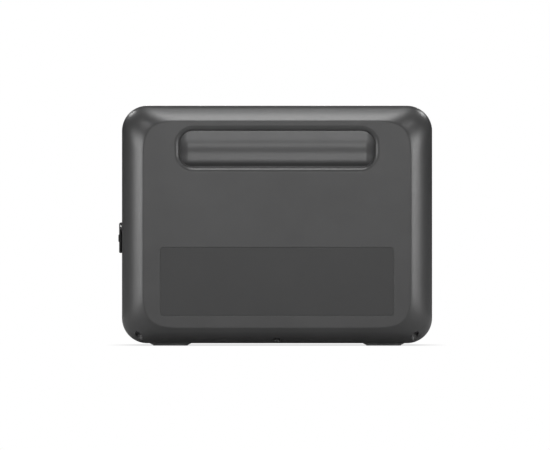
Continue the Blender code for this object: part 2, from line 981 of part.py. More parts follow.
def ac_outlet(name, x, z):
    """A flush three-pin mains outlet: two blade slots and a round earth hole."""
    half_u, half_v = OUTLET_HALF
    front = FASCIA_Y - 0.0006
    body = stack(
        name,
        [
            (half_u - 0.0006, half_v - 0.0006, 0.004, front),
            (half_u, half_v, 0.004, front + 0.0006),
            (half_u, half_v, 0.004, front + OUTLET_DEPTH),
        ],
        "Y",
        socket_plastic(),
        (x, 0, z),
    )
    for i, (dx, half_slot) in enumerate(((-0.00635, 0.0042), (0.00635, 0.0034))):
        slot = block(
            f"{name}_slot_{i}",
            (x + dx - 0.0010, front - 0.002, z + 0.0040 - half_slot),
            (x + dx + 0.0010, front + 0.010, z + 0.0040 + half_slot),
            socket_plastic(),
        )
        cut(body, slot)
    earth = turned(
        f"{name}_earth",
        [(0.0026, front - 0.002), (0.0026, front + 0.010)],
        "Y",
        socket_plastic(),
        (x, 0, z - 0.0079),
        steps=10,
    )
    cut(body, earth)


def usb_port(name, half, cavity, tongue, corner, x, z, steps):
    """A metal port with a tongue; half, cavity and tongue are half sizes across X and Z."""
    front = FASCIA_Y - 0.0002
    back = front + USB_DEPTH
    body = stack(
        name,
        [
            (*half, corner, back),
            (*half, corner, front),
            (*cavity, min(corner, cavity[1] * 0.9), front),
            (*cavity, min(corner, cavity[1] * 0.9), back - 0.0015),
        ],
        "Y",
        plated_steel(),
        (x, 0, z),
        steps,
    )
    blade = block(
        f"{name}_tongue",
        (x - tongue[0], front + 0.0012, z - tongue[1]),
        (x + tongue[0], back - 0.0008, z + tongue[1]),
        socket_plastic(),
    )
    weld(body, blade)


def car_socket():
    """The 12 V accessory socket: a deep sleeve with a flange, and its centre contact."""
    x, z = CAR
    face = FASCIA_Y - 0.0012
    floor = FASCIA_Y + CAR_DEPTH - 0.002
    turned(
        "car_socket",
        [
            (CAR_SLEEVE, FASCIA_Y + CAR_DEPTH),
            (CAR_SLEEVE, FASCIA_Y - GAP),
            (CAR_FLANGE, FASCIA_Y - GAP),
            (CAR_FLANGE, face),
            (CAR_BORE, face),
            (CAR_BORE, floor),
        ],
        "Y",
        plated_steel(),
        (x, 0, z),
    )
    turned(
        "car_socket_contact",
        [(0.0035, floor - GAP), (0.0035, floor - 0.0020), (0.0025, floor - 0.0045)],
        "Y",
        copper(),
        (x, 0, z),
        steps=10,
    )


def car_socket_cap():
    """A rubber cap hinged above the socket, with a plug on its back and a thumb tab below."""
    pivot = Vector((CAR[0], FASCIA_Y - 0.0026, CAR[1] + CAP_HINGE))
    drop = CAR[1] - pivot.z
    back = FASCIA_Y - 0.0012 - GAP - pivot.y
    front = back - 0.0022
    cap = turned(
        "car_socket_cap",
        [
            (0.0090, back + 0.0035),
            (0.0096, back + 0.0030),
            (0.0096, back),
            (CAR_FLANGE, back),
            (CAR_FLANGE, front + 0.0008),
            (CAR_FLANGE - 0.0010, front),
        ],
        "Y",
        soft_rubber(),
        pivot,
    )
    cap.data.transform(Matrix.Translation((0, 0, drop)))
    tab = block(
        "cap_tab",
        (-0.0040, front + 0.0004, drop - CAR_FLANGE - 0.0035),
        (0.0040, front + 0.0018, drop - CAR_FLANGE + 0.002),
        soft_rubber(),
        pivot,
    )
    strap = block(
        "cap_strap",
        (-0.0060, front + 0.0004, drop + CAR_FLANGE - 0.002),
        (0.0060, front + 0.0018, 0.0012),
        soft_rubber(),
        pivot,
    )
    weld(weld(cap, tab), strap)


# ---- Inside ----
def battery():
    """Eight prismatic cells in a row, clamped between the upright ends of a folded tray."""
    width, depth, height = CELL
    floor = TRAY_Z + TRAY_THICK + GAP
    first = -CELL_PITCH * (CELLS - 1) / 2
    for i in range(CELLS):
        stack(
            f"battery_cell_{i + 1}",
            [
                (width / 2, depth / 2, 0.002, floor),
                (width / 2, depth / 2, 0.002, floor + height),
            ],
            "Z",
            cell_wrap(),
            (first + i * CELL_PITCH, BATTERY_Y, 0),
            steps=1,
        )
    reach = CELL_PITCH * CELLS / 2 + GAP
    wall_top = floor + height - 0.010
    tray = [
        (-reach - TRAY_THICK, TRAY_Z),
        (reach + TRAY_THICK, TRAY_Z),
        (reach + TRAY_THICK, wall_top),
        (reach, wall_top),
        (reach, TRAY_Z + TRAY_THICK),
        (-reach, TRAY_Z + TRAY_THICK),
        (-reach, wall_top),
        (-reach - TRAY_THICK, wall_top),
    ]
    solid(
        "battery_tray",
        [[(x, y, z) for x, z in tray] for y in (-TRAY_HALF_D, TRAY_HALF_D)],
        bare_aluminium(),
        (0, BATTERY_Y, 0),
    )
    top = floor + height
    block(
        "battery_management_board",
        (-0.100, -0.030, top + GAP),
        (0.100, 0.030, top + 0.0022),
        circuit_board(),
        (0, BATTERY_Y, 0),
    )


def inverter():
    """The power board on a shelf that bridges the battery, with its heat sink and transformer."""
    inner = CELL_PITCH * CELLS / 2 + TRAY_THICK + 2 * GAP
    outer = inner + TRAY_THICK
    top = SHELF_Z + TRAY_THICK
    shelf = [
        (-outer, TRAY_Z),
        (-inner, TRAY_Z),
        (-inner, SHELF_Z),
        (inner, SHELF_Z),
        (inner, TRAY_Z),
        (outer, TRAY_Z),
        (outer, top),
        (-outer, top),
    ]
    solid(
        "inverter_shelf",
        [[(x, y, z) for x, z in shelf] for y in (BATTERY_Y - TRAY_HALF_D, BATTERY_Y + TRAY_HALF_D)],
        bare_aluminium(),
    )
    board = top + GAP
    block("inverter_board", (-0.105, -0.056, board), (0.105, 0.080, board + 0.0016), circuit_board())
    top = board + 0.0016 + GAP
    fins, pitch, fin_half = 8, 0.0075, 0.0010
    outline = [(-fins * pitch / 2, top), (fins * pitch / 2, top)]
    for i in range(fins):
        x = pitch * (fins / 2 - 0.5 - i)
        root, tip = top + 0.005, top + 0.034
        outline += [(x + fin_half, root), (x + fin_half, tip), (x - fin_half, tip), (x - fin_half, root)]
    solid(
        "heat_sink",
        [[(x, y, z) for x, z in outline] for y in (-0.045, 0.050)],
        bare_aluminium(),
        (-0.060, 0, 0),
    )
    stack(
        "power_transformer",
        [
            (0.024, 0.020, 0.004, top),
            (0.024, 0.020, 0.004, top + 0.036),
        ],
        "Z",
        copper(),
        (0.020, 0.020, 0),
        steps=2,
    )


def output_board():
    """The circuit board that the front's ports and outlets stand on."""
    behind = FASCIA_Y + OUTLET_DEPTH + GAP
    block("output_board", (-0.060, behind, 0.060), (0.120, behind + 0.0016, 0.164), circuit_board())


def main():
    for old in list(bpy.data.objects):
        bpy.data.objects.remove(old)
    rear_shell()
    front_shell()
    grip_cup("rear_grip_cup", 1)
    grip_cup("front_grip_cup", -1)
    rating_label()
    feet()
    case_screws()
    vent_grille("vent_grille_left", -1)
    vent_grille("vent_grille_right", 1)
    fan("left", -1)
    fan("right", 1)
    input_bezel()
    input_door()
    ac_inlet()
    solar_inlet()
    reset_button()
    front_fascia()
    display()
    push_button("power_button", POWER_RADIUS, *POWER)
    push_button("dc_button", BUTTON_RADIUS, *DC)
    push_button("ac_button", BUTTON_RADIUS, *AC)
    for name, x, z in outlet_places():
        ac_outlet(name, x, z)
    for name, x, z in usb_places("usb_a", USB_A_X):
        usb_port(name, (0.0070, 0.0034), (0.0063, 0.0026), (0.0056, 0.0009), 0.001, x, z, 1)
    for name, x, z in usb_places("usb_c", USB_C_X):
        usb_port(name, (0.0055, 0.0026), (0.0044, 0.0015), (0.0033, 0.00035), 0.0024, x, z, 2)
    car_socket()
    car_socket_cap()
    battery()
    inverter()
    output_board()


main()
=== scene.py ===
"""Looks of the portable power station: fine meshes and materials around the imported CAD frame.

The back faces +Y and the user's side faces -Y. All lengths are in metres.
"""

import math

import bmesh
import bpy
from mathutils import Matrix, Vector


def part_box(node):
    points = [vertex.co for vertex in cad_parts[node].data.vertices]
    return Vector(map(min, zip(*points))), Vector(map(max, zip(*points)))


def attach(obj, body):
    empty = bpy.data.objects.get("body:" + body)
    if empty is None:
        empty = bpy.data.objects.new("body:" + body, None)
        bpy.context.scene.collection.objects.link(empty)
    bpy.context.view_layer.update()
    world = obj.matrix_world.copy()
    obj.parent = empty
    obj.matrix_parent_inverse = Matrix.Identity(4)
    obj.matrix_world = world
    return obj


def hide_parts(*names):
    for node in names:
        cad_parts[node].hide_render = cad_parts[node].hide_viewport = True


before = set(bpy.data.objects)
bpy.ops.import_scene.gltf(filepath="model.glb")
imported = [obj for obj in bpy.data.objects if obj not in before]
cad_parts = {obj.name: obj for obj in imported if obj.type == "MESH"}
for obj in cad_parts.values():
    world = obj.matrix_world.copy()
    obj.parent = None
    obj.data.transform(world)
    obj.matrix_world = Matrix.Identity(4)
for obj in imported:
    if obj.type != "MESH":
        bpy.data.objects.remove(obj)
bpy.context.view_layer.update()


def spans(node):
    """Half sizes and middle of a CAD node's box."""
    low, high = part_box(node)
    return (high - low) / 2, (low + high) / 2


def middle(node):
    """The middle of a CAD node's box."""
    return spans(node)[1]


# ---- Case ----
REAR_LOW, REAR_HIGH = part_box("rear_shell")
FRONT_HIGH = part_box("front_shell")[1]
HALF_W = REAR_HIGH.x
HALF_D = REAR_HIGH.y
BASE_Z = REAR_LOW.z
TOP_Z = REAR_HIGH.z
MID_Z = (BASE_Z + TOP_Z) / 2
HALF_H = (TOP_Z - BASE_Z) / 2
WALL = 0.003
GAP = 0.0003
LAP = 0.003  # reach of the front shell's tongue into the back shell
LAP_FACE = 0.0014  # wall left outside the tongue

# The band round each big face, as in the CAD.
CASE_CORNER = 0.026
PANEL_CORNER = 0.052
PANEL_POWER = 4.2
BAND_DEPTH = 0.030
BAND_SIDE = 0.0217
BAND_TOP = 0.0158
BAND_SWEEP = math.radians(45)
CREASE = 0.0007  # half width of the softened crease between band and panel

# ---- Grips ----
GRIP_Z = 0.2029
GRIP_HALF = (0.1003, 0.0185)
GRIP_CORNER = 0.014
LIP = 0.006
CUP_LOW, CUP_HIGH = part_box("rear_grip_cup")
CUP_WALL = 0.0025
CUP_END = 0.010
BULGE_Y = 0.0898
BULGE_Z = 0.2018
# Height, and how many degrees the cup's back wall leans back there.
CUP_TILTS = ((0.2285, 22), (0.2140, 19), (0.2018, -3), (0.1945, 8), (0.1863, -14), (0.1815, -14))

# ---- Screws and feet ----
SCREW_BORE = 0.00385
SCREW_HOLE = 0.0024
SCREW_SEAT_Z = 0.0160
SCREW_BOSS = (0.0065, 0.0240)  # radius, top
FOOT_TREAD = (0.0180, 0.0095)
FOOT_SEAT = (0.0215, 0.0120)
FOOT_RECESS = 0.0012
FOOT_GROOVE_PITCH = 0.0056

# ---- Sides ----
VENT_HALF = (0.048, 0.038)
VENT_CORNER = 0.006
VENT_SLOTS = 9
VENT_PITCH = 0.0075
VENT_SLOT = (0.042, 0.0018)
INPUT_HALF = (0.050, 0.021)
INPUT_CORNER = 0.005
PIN = middle("hinge_pin")
PIN_RADIUS = 0.0009
PIN_BORE = 0.0012
KNUCKLE = 0.0019
FAN_BORE = 0.0325
FAN_HUB = 0.0125
FAN_BLADES = 7

# ---- Front ----
FASCIA_LOW, FASCIA_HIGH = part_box("front_fascia")
FASCIA_CORNER = 0.010
FASCIA_Y = -0.1055
FASCIA_HOLE_END = FASCIA_HIGH.y + 0.002
ANCHOR_TOP = 0.1026  # upper edge of the block that holds the cap's strap
CAP_FLANGE = 0.0165
SLEEVE = 0.0135
OUTLETS = [f"ac_outlet_{row}_{side}" for row in ("upper", "lower") for side in ("left", "right")]
BLADE_X = 0.00635  # from an outlet's middle to each blade slot
KEY_DISH = 0.0004
PAD_HALF = 0.00008  # half the thickness of a contact pad

# ---- Inside ----
TERMINAL_Y = 0.052


# ---- Outlines: closed lists of (u, v) points ----
def rounded(half_u, half_v, corner, steps=8, power=2.0):
    """A rectangle with superellipse corners, counter-clockwise."""
    points = []
    for su, sv, backwards in ((1, 1, False), (-1, 1, True), (-1, -1, False), (1, -1, True)):
        order = range(steps, -1, -1) if backwards else range(steps + 1)
        for i in order:
            angle = math.pi / 2 * i / steps
            along_u = math.cos(angle) ** (2 / power) if i < steps else 0.0
            along_v = math.sin(angle) ** (2 / power) if i else 0.0
            points.append((su * (half_u - corner * (1 - along_u)), sv * (half_v - corner * (1 - along_v))))
    return points


def circle(radius, steps):
    """Points on a circle about the origin."""
    return [
        (radius * math.cos(math.tau * i / steps), radius * math.sin(math.tau * i / steps))
        for i in range(steps)
    ]


def place(u, v, w, axis):
    """A point of an outline at height w along an axis."""
    return {"X": (w, u, v), "Y": (u, w, v), "Z": (u, v, w)}[axis]


# ---- Meshes ----
def made(name, work, finish):
    """A mesh object from a bmesh, with its faces pointing outwards."""
    bmesh.ops.recalc_face_normals(work, faces=work.faces)
    mesh = bpy.data.meshes.new(name)
    work.to_mesh(mesh)
    work.free()
    mesh.materials.append(finish)
    piece = bpy.data.objects.new(name, mesh)
    bpy.context.scene.collection.objects.link(piece)
    return piece


def loft(name, rings, finish, centre=(0, 0, 0)):
    """A closed skin through rings of equal length, with a cap on each end."""
    work = bmesh.new()
    rows = [[work.verts.new(Vector(point) + Vector(centre)) for point in ring] for ring in rings]
    count = len(rows[0])
    for near, far in zip(rows, rows[1:]):
        for i in range(count):
            j = (i + 1) % count
            work.faces.new((near[i], near[j], far[j], far[i]))
    work.faces.new(rows[0])
    work.faces.new(rows[-1])
    return made(name, work, finish)


def stack(name, layers, axis, finish, centre=(0, 0, 0), steps=8):
    """A loft through rounded rectangles: each layer is (half_u, half_v, corner, w)."""
    rings = [
        [place(u, v, w, axis) for u, v in rounded(half_u, half_v, max(corner, 1e-5), steps)]
        for half_u, half_v, corner, w in layers
    ]
    return loft(name, rings, finish, centre)


def turned(name, profile, axis, finish, centre=(0, 0, 0), steps=48):
    """A turned solid: each entry of the profile is (radius, w)."""
    rings = [[place(u, v, w, axis) for u, v in circle(radius, steps)] for radius, w in profile]
    return loft(name, rings, finish, centre)


def fillet(radius, steps=4, start=0.0):
    """A quarter round, as (inset, advance) pairs from the face to the side."""
    pairs = []
    for i in range(steps + 1):
        angle = start + (math.pi / 2 - start) * i / steps
        pairs.append((radius * (1 - math.sin(angle)), radius * (1 - math.cos(angle))))
    return pairs


def slab_layers(half_u, half_v, corner, near, far, near_round=0.0, far_round=0.0):
    """Layers of a plate from near to far, with a quarter round on each rounded end."""
    way = math.copysign(1, far - near)
    layers = [
        (half_u - inset, half_v - inset, corner - inset, near + way * advance)
        for inset, advance in (fillet(near_round) if near_round else [(0, 0)])
    ]
    layers += [
        (half_u - inset, half_v - inset, corner - inset, far - way * advance)
        for inset, advance in reversed(fillet(far_round) if far_round else [(0, 0)])
    ]
    return layers


def rod_profile(radius, near, far, near_round=0.0, far_round=0.0):
    """A turned profile from near to far, with a quarter round on each rounded end."""
    return [(u, w) for u, _, _, w in slab_layers(radius, radius, radius, near, far, near_round, far_round)]


def flare(radius, steps=10):
    """The mouth of a cutter, as (outset, depth) pairs: it starts outside the face and ends at the wall."""
    lead = math.radians(6)
    reach = 0.5 * radius
    pairs = fillet(radius, steps, lead)
    outset, depth = pairs[0]
    pairs.insert(0, (outset + reach * math.cos(lead), depth - reach * math.sin(lead)))
    return pairs


def pocket_layers(half_u, half_v, corner, mouth, floor, mouth_round):
    """Layers of a cutter from its flared mouth to its floor."""
    way = math.copysign(1, floor - mouth)
    layers = [
        (half_u + outset, half_v + outset, corner + outset, mouth + way * depth)
        for outset, depth in flare(mouth_round, 4)
    ]
    layers.append((half_u, half_v, corner, floor))
    return layers


def bore_profile(radius, mouth, floor, mouth_round):
    """A turned cutter from its flared mouth to its floor."""
    return [(u, w) for u, _, _, w in pocket_layers(radius, radius, radius, mouth, floor, mouth_round)]


def combine(piece, tools, operation="DIFFERENCE"):
    """Cuts tools from a piece, or unites them with it, and leaves one plain mesh."""
    for tool in tools:
        step = piece.modifiers.new(tool.name, "BOOLEAN")
        step.operation = operation
        step.solver = "EXACT"
        step.object = tool
    bpy.context.view_layer.update()
    evaluated = piece.evaluated_get(bpy.context.evaluated_depsgraph_get())
    final = bpy.data.meshes.new_from_object(evaluated)
    piece.modifiers.clear()
    old = piece.data
    piece.data = final
    final.name = old.name
    for tool in tools:
        bpy.data.objects.remove(tool)


def turn(piece, angle, axis, about):
    """Turns a piece's mesh about a line through a point."""
    spot = Matrix.Translation(Vector(about))
    piece.data.transform(spot @ Matrix.Rotation(angle, 4, axis) @ spot.inverted())
    return piece


def settle(piece, sharp=35.0):
    """Smooth shading that stays flat on flat faces."""
    piece.data.shade_smooth()
    piece.data.set_sharp_from_angle(angle=math.radians(sharp))
    step = piece.modifiers.new("normals", "WEIGHTED_NORMAL")
    step.keep_sharp = True


def join(body, slot, piece, *nodes):
    """Hands a finished piece to the frame: its body and the CAD nodes it stands for. The slot is not used."""
    settle(piece)
    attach(piece, body)
    if nodes:
        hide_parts(*nodes)
    return piece


# ---- Materials ----
def noise(tree, scale, detail=2.0, roughness=0.5, stretch=(1, 1, 1), origin=(0, 0, 0)):
    """Noise in object space; its scale is in cells per metre."""
    nodes, links = tree.nodes, tree.links
    where = nodes.new("ShaderNodeTexCoord")
    mapping = nodes.new("ShaderNodeMapping")
    mapping.inputs["Scale"].default_value = stretch
    mapping.inputs["Location"].default_value = origin
    texture = nodes.new("ShaderNodeTexNoise")
    texture.inputs["Scale"].default_value = scale
    texture.inputs["Detail"].default_value = detail
    texture.inputs["Roughness"].default_value = roughness
    links.new(where.outputs["Object"], mapping.inputs["Vector"])
    links.new(mapping.outputs["Vector"], texture.inputs["Vector"])
    return texture.outputs["Fac"]


def spread(tree, value, low, high, start=0.3, end=0.7):
    """A noise value spread from low to high."""
    step = tree.nodes.new("ShaderNodeMapRange")
    step.inputs["From Min"].default_value = start
    step.inputs["From Max"].default_value = end
    step.inputs["To Min"].default_value = low
    step.inputs["To Max"].default_value = high
    tree.links.new(value, step.inputs["Value"])
    return step.outputs["Result"]


def tint(tree, value, dark, light):
    """A colour between dark and light, by a value from 0 to 1."""
    step = tree.nodes.new("ShaderNodeMix")
    step.data_type = "RGBA"
    step.inputs["A"].default_value = (*dark, 1)
    step.inputs["B"].default_value = (*light, 1)
    tree.links.new(value, step.inputs["Factor"])
    return step.outputs["Result"]


def bumps(tree, shader, layers):
    """Stacked bumps: each layer is (height, distance in metres, strength)."""
    normal = None
    for height, distance, strength in layers:
        step = tree.nodes.new("ShaderNodeBump")
        step.inputs["Distance"].default_value = distance
        step.inputs["Strength"].default_value = strength
        tree.links.new(height, step.inputs["Height"])
        if normal:
            tree.links.new(normal, step.inputs["Normal"])
        normal = step.outputs["Normal"]
    tree.links.new(normal, shader.inputs["Normal"])


def blank(name, metallic=0.0, specular=0.5):
    """A new material, its node tree and its shader."""
    material = bpy.data.materials.new(name)
    material.use_nodes = True
    tree = material.node_tree
    shader = tree.nodes["Principled BSDF"]
    shader.inputs["Metallic"].default_value = metallic
    shader.inputs["Specular IOR Level"].default_value = specular
    return material, tree, shader


def toned(tree, shader, colour, variation, scale=22.0):
    """A slow drift of tone round a colour."""
    drift = spread(tree, noise(tree, scale, 3.0), 0.0, 1.0)
    dark = [c * (1 - variation) for c in colour]
    light = [c * (1 + variation) for c in colour]
    tree.links.new(tint(tree, drift, dark, light), shader.inputs["Base Color"])


def moulded(name, colour, roughness, grain=1400.0, depth=0.00004, variation=0.10, specular=0.5):
    """Moulded plastic: a spark-eroded grain, a slow drift of tone and a broken-up gloss."""
    material, tree, shader = blank(name, 0.0, specular)
    toned(tree, shader, colour, variation)
    gloss = spread(tree, noise(tree, grain * 0.4, 2.0), roughness - 0.04, roughness + 0.04)
    tree.links.new(gloss, shader.inputs["Roughness"])
    fine = noise(tree, grain, 3.0, 0.6)
    coarse = noise(tree, grain * 0.35, 2.0)
    bumps(tree, shader, [(coarse, depth, 0.5), (fine, depth, 0.6)])
    return material


def metal(name, colour, roughness, lines=(1, 1, 1)):
    """Bare or plated metal: fine lines along its stretch, patchy tarnish."""
    material, tree, shader = blank(name, 1.0)
    toned(tree, shader, colour, 0.08, 40.0)
    scratch = noise(tree, 900.0, 3.0, 0.6, lines)
    tree.links.new(spread(tree, scratch, roughness - 0.06, roughness + 0.10), shader.inputs["Roughness"])
    bumps(tree, shader, [(scratch, 0.00001, 0.4)])
    return material


def solder_mask():
    """Green board: copper tracks as faint ridges under the mask."""
    material, tree, shader = blank("solder_mask")
    tracks = noise(tree, 160.0, 1.0, 0.5, (1, 5, 5))
    crossing = noise(tree, 160.0, 1.0, 0.5, (5, 1, 1), (3, 1, 2))
    either = tree.nodes.new("ShaderNodeMath")
    either.operation = "MAXIMUM"
    tree.links.new(spread(tree, tracks, 0, 1, 0.52, 0.56), either.inputs[0])
    tree.links.new(spread(tree, crossing, 0, 1, 0.56, 0.60), either.inputs[1])
    mask = either.outputs["Value"]
    green = tint(tree, mask, (0.006, 0.050, 0.022), (0.015, 0.105, 0.045))
    tree.links.new(green, shader.inputs["Base Color"])
    tree.links.new(spread(tree, noise(tree, 300.0), 0.28, 0.40), shader.inputs["Roughness"])
    bumps(tree, shader, [(mask, 0.00004, 0.5)])
    return material


def winding():
    """Enamelled copper wire, turn above turn, with painted shade in the grooves between turns."""
    material, tree, shader = blank("winding", 0.8)
    where = tree.nodes.new("ShaderNodeTexCoord")
    wave = tree.nodes.new("ShaderNodeTexWave")
    wave.bands_direction = "Z"
    wave.inputs["Scale"].default_value = 260.0
    wave.inputs["Distortion"].default_value = 0.4
    tree.links.new(where.outputs["Object"], wave.inputs["Vector"])
    turns_and_painted_groove_shade = wave.outputs["Fac"]
    # Painted shade: the copper darkens towards the grooves between turns, along the bands of the bump.
    tree.links.new(tint(tree, turns_and_painted_groove_shade, (0.12, 0.030, 0.012), (0.62, 0.24, 0.10)), shader.inputs["Base Color"])
    tree.links.new(spread(tree, noise(tree, 500.0), 0.25, 0.42), shader.inputs["Roughness"])
    bumps(tree, shader, [(turns_and_painted_groove_shade, 0.0002, 0.7)])
    return material


def smoked_window():
    """Glossy dark window with faint wipe marks."""
    material, tree, shader = blank("smoked_window", 0.0, 0.6)
    toned(tree, shader, (0.006, 0.0065, 0.007), 0.2)
    wipes = noise(tree, 60.0, 4.0, 0.6, (1, 1, 6))
    tree.links.new(spread(tree, wipes, 0.08, 0.14), shader.inputs["Roughness"])
    bumps(tree, shader, [(noise(tree, 25.0, 1.0), 0.00001, 0.03)])
    shader.inputs["Coat Weight"].default_value = 0.5
    return material


def wrapped_film():
    """Blue film shrunk on to a cell's can, with faint creases."""
    material, tree, shader = blank("cell_film", 0.35)
    toned(tree, shader, (0.020, 0.085, 0.28), 0.15, 30.0)
    creases = noise(tree, 70.0, 4.0, 0.55, (1, 1, 0.3))
    tree.links.new(spread(tree, creases, 0.24, 0.38), shader.inputs["Roughness"])
    bumps(tree, shader, [(creases, 0.0002, 0.4)])
    return material


def grey(level):
    """A grey that leans a little to blue."""
    return (level, level, level * 1.01)


CASE = moulded("case_plastic", grey(0.032), 0.37)
FILM = moulded("label_film", grey(0.017), 0.40, 2200.0, 0.000015, 0.05)
RUBBER = moulded("soft_rubber", grey(0.008), 0.72, 1800.0, 0.00003, specular=0.3)
FOOT_RUBBER = moulded("foot_rubber", grey(0.320), 0.68, 1800.0, 0.00003)
FASCIA = moulded("fascia_plastic", grey(0.018), 0.40, 1800.0, 0.00002)
FAN = moulded("fan_plastic", grey(0.014), 0.42, 2000.0, 0.00001)
SOCKET = moulded("socket_plastic", grey(0.022), 0.30, 2400.0, 0.00001)
KEY = moulded("key_plastic", grey(0.110), 0.38, 2400.0, 0.00001)
BLACK_STEEL = metal("black_oxide", (0.035, 0.035, 0.037), 0.42, (1, 1, 0.2))
STEEL = metal("plated_steel", (0.62, 0.62, 0.60), 0.26, (1, 1, 0.2))
PIN_STEEL = metal("bright_pin", (0.86, 0.86, 0.85), 0.50, (1, 0.2, 1))
ALUMINIUM = metal("mill_aluminium", (0.72, 0.73, 0.74), 0.34, (0.06, 1, 1))
COPPER = metal("contact_copper", (0.80, 0.46, 0.28), 0.24)
GOLD = metal("contact_gold", (0.86, 0.66, 0.28), 0.22)
WINDOW = smoked_window()
WRAP = wrapped_film()
BOARD = solder_mask()
WIRE = winding()
CORE = moulded("ferrite", grey(0.030), 0.55, 1500.0, 0.00003)
CHIP = moulded("chip_epoxy", grey(0.012), 0.48, 2600.0, 0.00001)
LCD = moulded("lcd_glass", (0.030, 0.036, 0.034), 0.12, 2000.0, 0.000004)
PORT = moulded("port_plastic", grey(0.55), 0.35, 2400.0, 0.00001, 0.03)
LAMP = moulded("light_pipe", grey(0.60), 0.22, 2400.0, 0.00001, 0.03)

# Parts on the boards: half sizes, corner, height, top edge round, finish.
BOARD_PARTS = {
    "chip": (0.0045, 0.0045, 0.0004, 0.0010, 0.0002, CHIP),
    "plug": (0.0075, 0.0030, 0.0006, 0.0060, 0.0003, PORT),
}


# ---- Camera, lights and floor ----
VIEW_WIDTH = 0.56625  # what the picture's width takes in at the object
VIEW_CENTRE = Vector((0.0021, 0.0, 0.12446))
VIEW_DISTANCE = 14.0
LIGHT_AIM = Vector((0, 0, 0.12))
FLOOR_RADIUS = 2.5


def camera():
    """Looks squarely at the back, from far enough away to flatten the perspective."""
    data = bpy.data.cameras.new("camera")
    data.sensor_width = 36.0
    data.lens = data.sensor_width * VIEW_DISTANCE / VIEW_WIDTH
    data.clip_end = 200.0
    seen = bpy.data.objects.new("camera", data)
    seen.location = VIEW_CENTRE + Vector((0, HALF_D + VIEW_DISTANCE, 0))
    seen.rotation_euler = (math.pi / 2, 0, math.pi)
    bpy.context.scene.collection.objects.link(seen)
    bpy.context.scene.camera = seen


def softbox(name, azimuth, elevation, distance, width, height, power):
    """An area light aimed at the object; azimuth 0 is on the +Y side, where the camera is."""
    data = bpy.data.lights.new(name, "AREA")
    data.shape = "RECTANGLE"
    data.size = width
    data.size_y = height
    data.energy = power
    light = bpy.data.objects.new(name, data)
    across, rise = math.radians(azimuth), math.radians(elevation)
    way = Vector((math.sin(across) * math.cos(rise), math.cos(across) * math.cos(rise), math.sin(rise)))
    light.location = LIGHT_AIM + way * distance
    light.rotation_euler = (-way).to_track_quat("-Z", "Y").to_euler()
    bpy.context.scene.collection.objects.link(light)
    return light


def group(name, pieces):
    """A collection that a light can be linked to."""
    collection = bpy.data.collections.new(name)
    for piece in pieces:
        collection.objects.link(piece)
    return collection


def lights_only(light, pieces, blockers):
    """Keeps a light to these pieces, shaded by nothing but the blockers."""
    light.light_linking.receiver_collection = group(f"{light.name}_reaches", pieces)
    light.light_linking.blocker_collection = group(f"{light.name}_blockers", blockers)


def leaves_out(light, pieces):
    """Keeps a light off these pieces."""
    missed = group(f"{light.name}_misses", pieces)
    light.light_linking.receiver_collection = missed
    for entry in missed.collection_objects:
        entry.light_linking.link_state = "EXCLUDE"


def white_to_eye(tree, lit, shown, output):
    """Sends one shader to the camera's own rays and another to all the rest."""
    ray = tree.nodes.new("ShaderNodeLightPath")
    mix = tree.nodes.new("ShaderNodeMixShader")
    tree.links.new(ray.outputs["Is Camera Ray"], mix.inputs["Fac"])
    tree.links.new(lit, mix.inputs[1])
    tree.links.new(shown, mix.inputs[2])
    tree.links.new(mix.outputs["Shader"], tree.nodes[output].inputs["Surface"])


def white_room():
    """A room that is white to the eye and dim to everything else."""
    world = bpy.data.worlds.new("world")
    world.use_nodes = True
    bpy.context.scene.world = world
    tree = world.node_tree
    dim = tree.nodes["Background"]
    dim.inputs["Color"].default_value = (1, 1, 1, 1)
    dim.inputs["Strength"].default_value = 0.008
    backdrop = tree.nodes.new("ShaderNodeBackground")
    backdrop.inputs["Color"].default_value = (1, 1, 1, 1)
    white_to_eye(tree, dim.outputs["Background"], backdrop.outputs["Background"], "World Output")


def floor_paper():
    """Pale paper: white to the eye but for a painted soft contact shadow, and dimmer in what it throws back.
    """
    material, tree, shader = blank("floor_paper")
    shader.inputs["Base Color"].default_value = (0.55, 0.55, 0.55, 1)
    shader.inputs["Roughness"].default_value = 0.9
    # Painted contact shadow: ambient occlusion dims the white the camera sees near the object.
    contact = tree.nodes.new("ShaderNodeAmbientOcclusion")
    contact.inputs["Distance"].default_value = 0.03
    eye_white_with_painted_shadow = tree.nodes.new("ShaderNodeEmission")
    tree.links.new(spread(tree, contact.outputs["AO"], 0.72, 1.0, 0.1, 0.9), eye_white_with_painted_shadow.inputs["Strength"])
    white_to_eye(tree, shader.outputs["BSDF"], eye_white_with_painted_shadow.outputs["Emission"], "Material Output")
    return material


def stage(cups):
    """Camera, white surroundings, floor and lights. The cups of the grips have a light to themselves."""
    camera()
    bpy.context.scene.view_settings.view_transform = "Standard"
    bpy.context.scene.view_settings.look = "None"
    white_room()
    work = bmesh.new()
    bmesh.ops.create_circle(work, cap_ends=True, segments=64, radius=FLOOR_RADIUS)
    floor = made("floor", work, floor_paper())
    # Name, azimuth, elevation, distance, width, height, power.
    softbox("top_softbox", 0, 70, 1.6, 0.6, 0.6, 9)
    softbox("roof_softbox", 0, 84, 1.6, 0.9, 0.6, 8)
    softbox("over_softbox", 0, 94, 1.6, 0.9, 0.6, 5)
    softbox("back_softbox", 180, 64, 2.0, 0.9, 0.5, 3)
    softbox("key_softbox", 0, 12, 2.2, 1.0, 0.6, 9.8)
    for side, name in ((1, "left"), (-1, "right")):
        leaves_out(softbox(f"{name}_softbox", 62 * side, 6, 1.6, 0.7, 0.4, 10.5), cups)
        softbox(f"{name}_corner", 50 * side, 38, 1.6, 0.3, 0.3, 2.5)
        softbox(f"{name}_rim", 132 * side, 38, 1.8, 0.3, 0.3, 5.5)
    softbox("front_fill", 180, 5, 2.0, 0.5, 0.3, 8)
    lights_only(softbox("grip_softbox", 0, 71, 1.6, 1.2, 0.4, 84), cups, [floor])


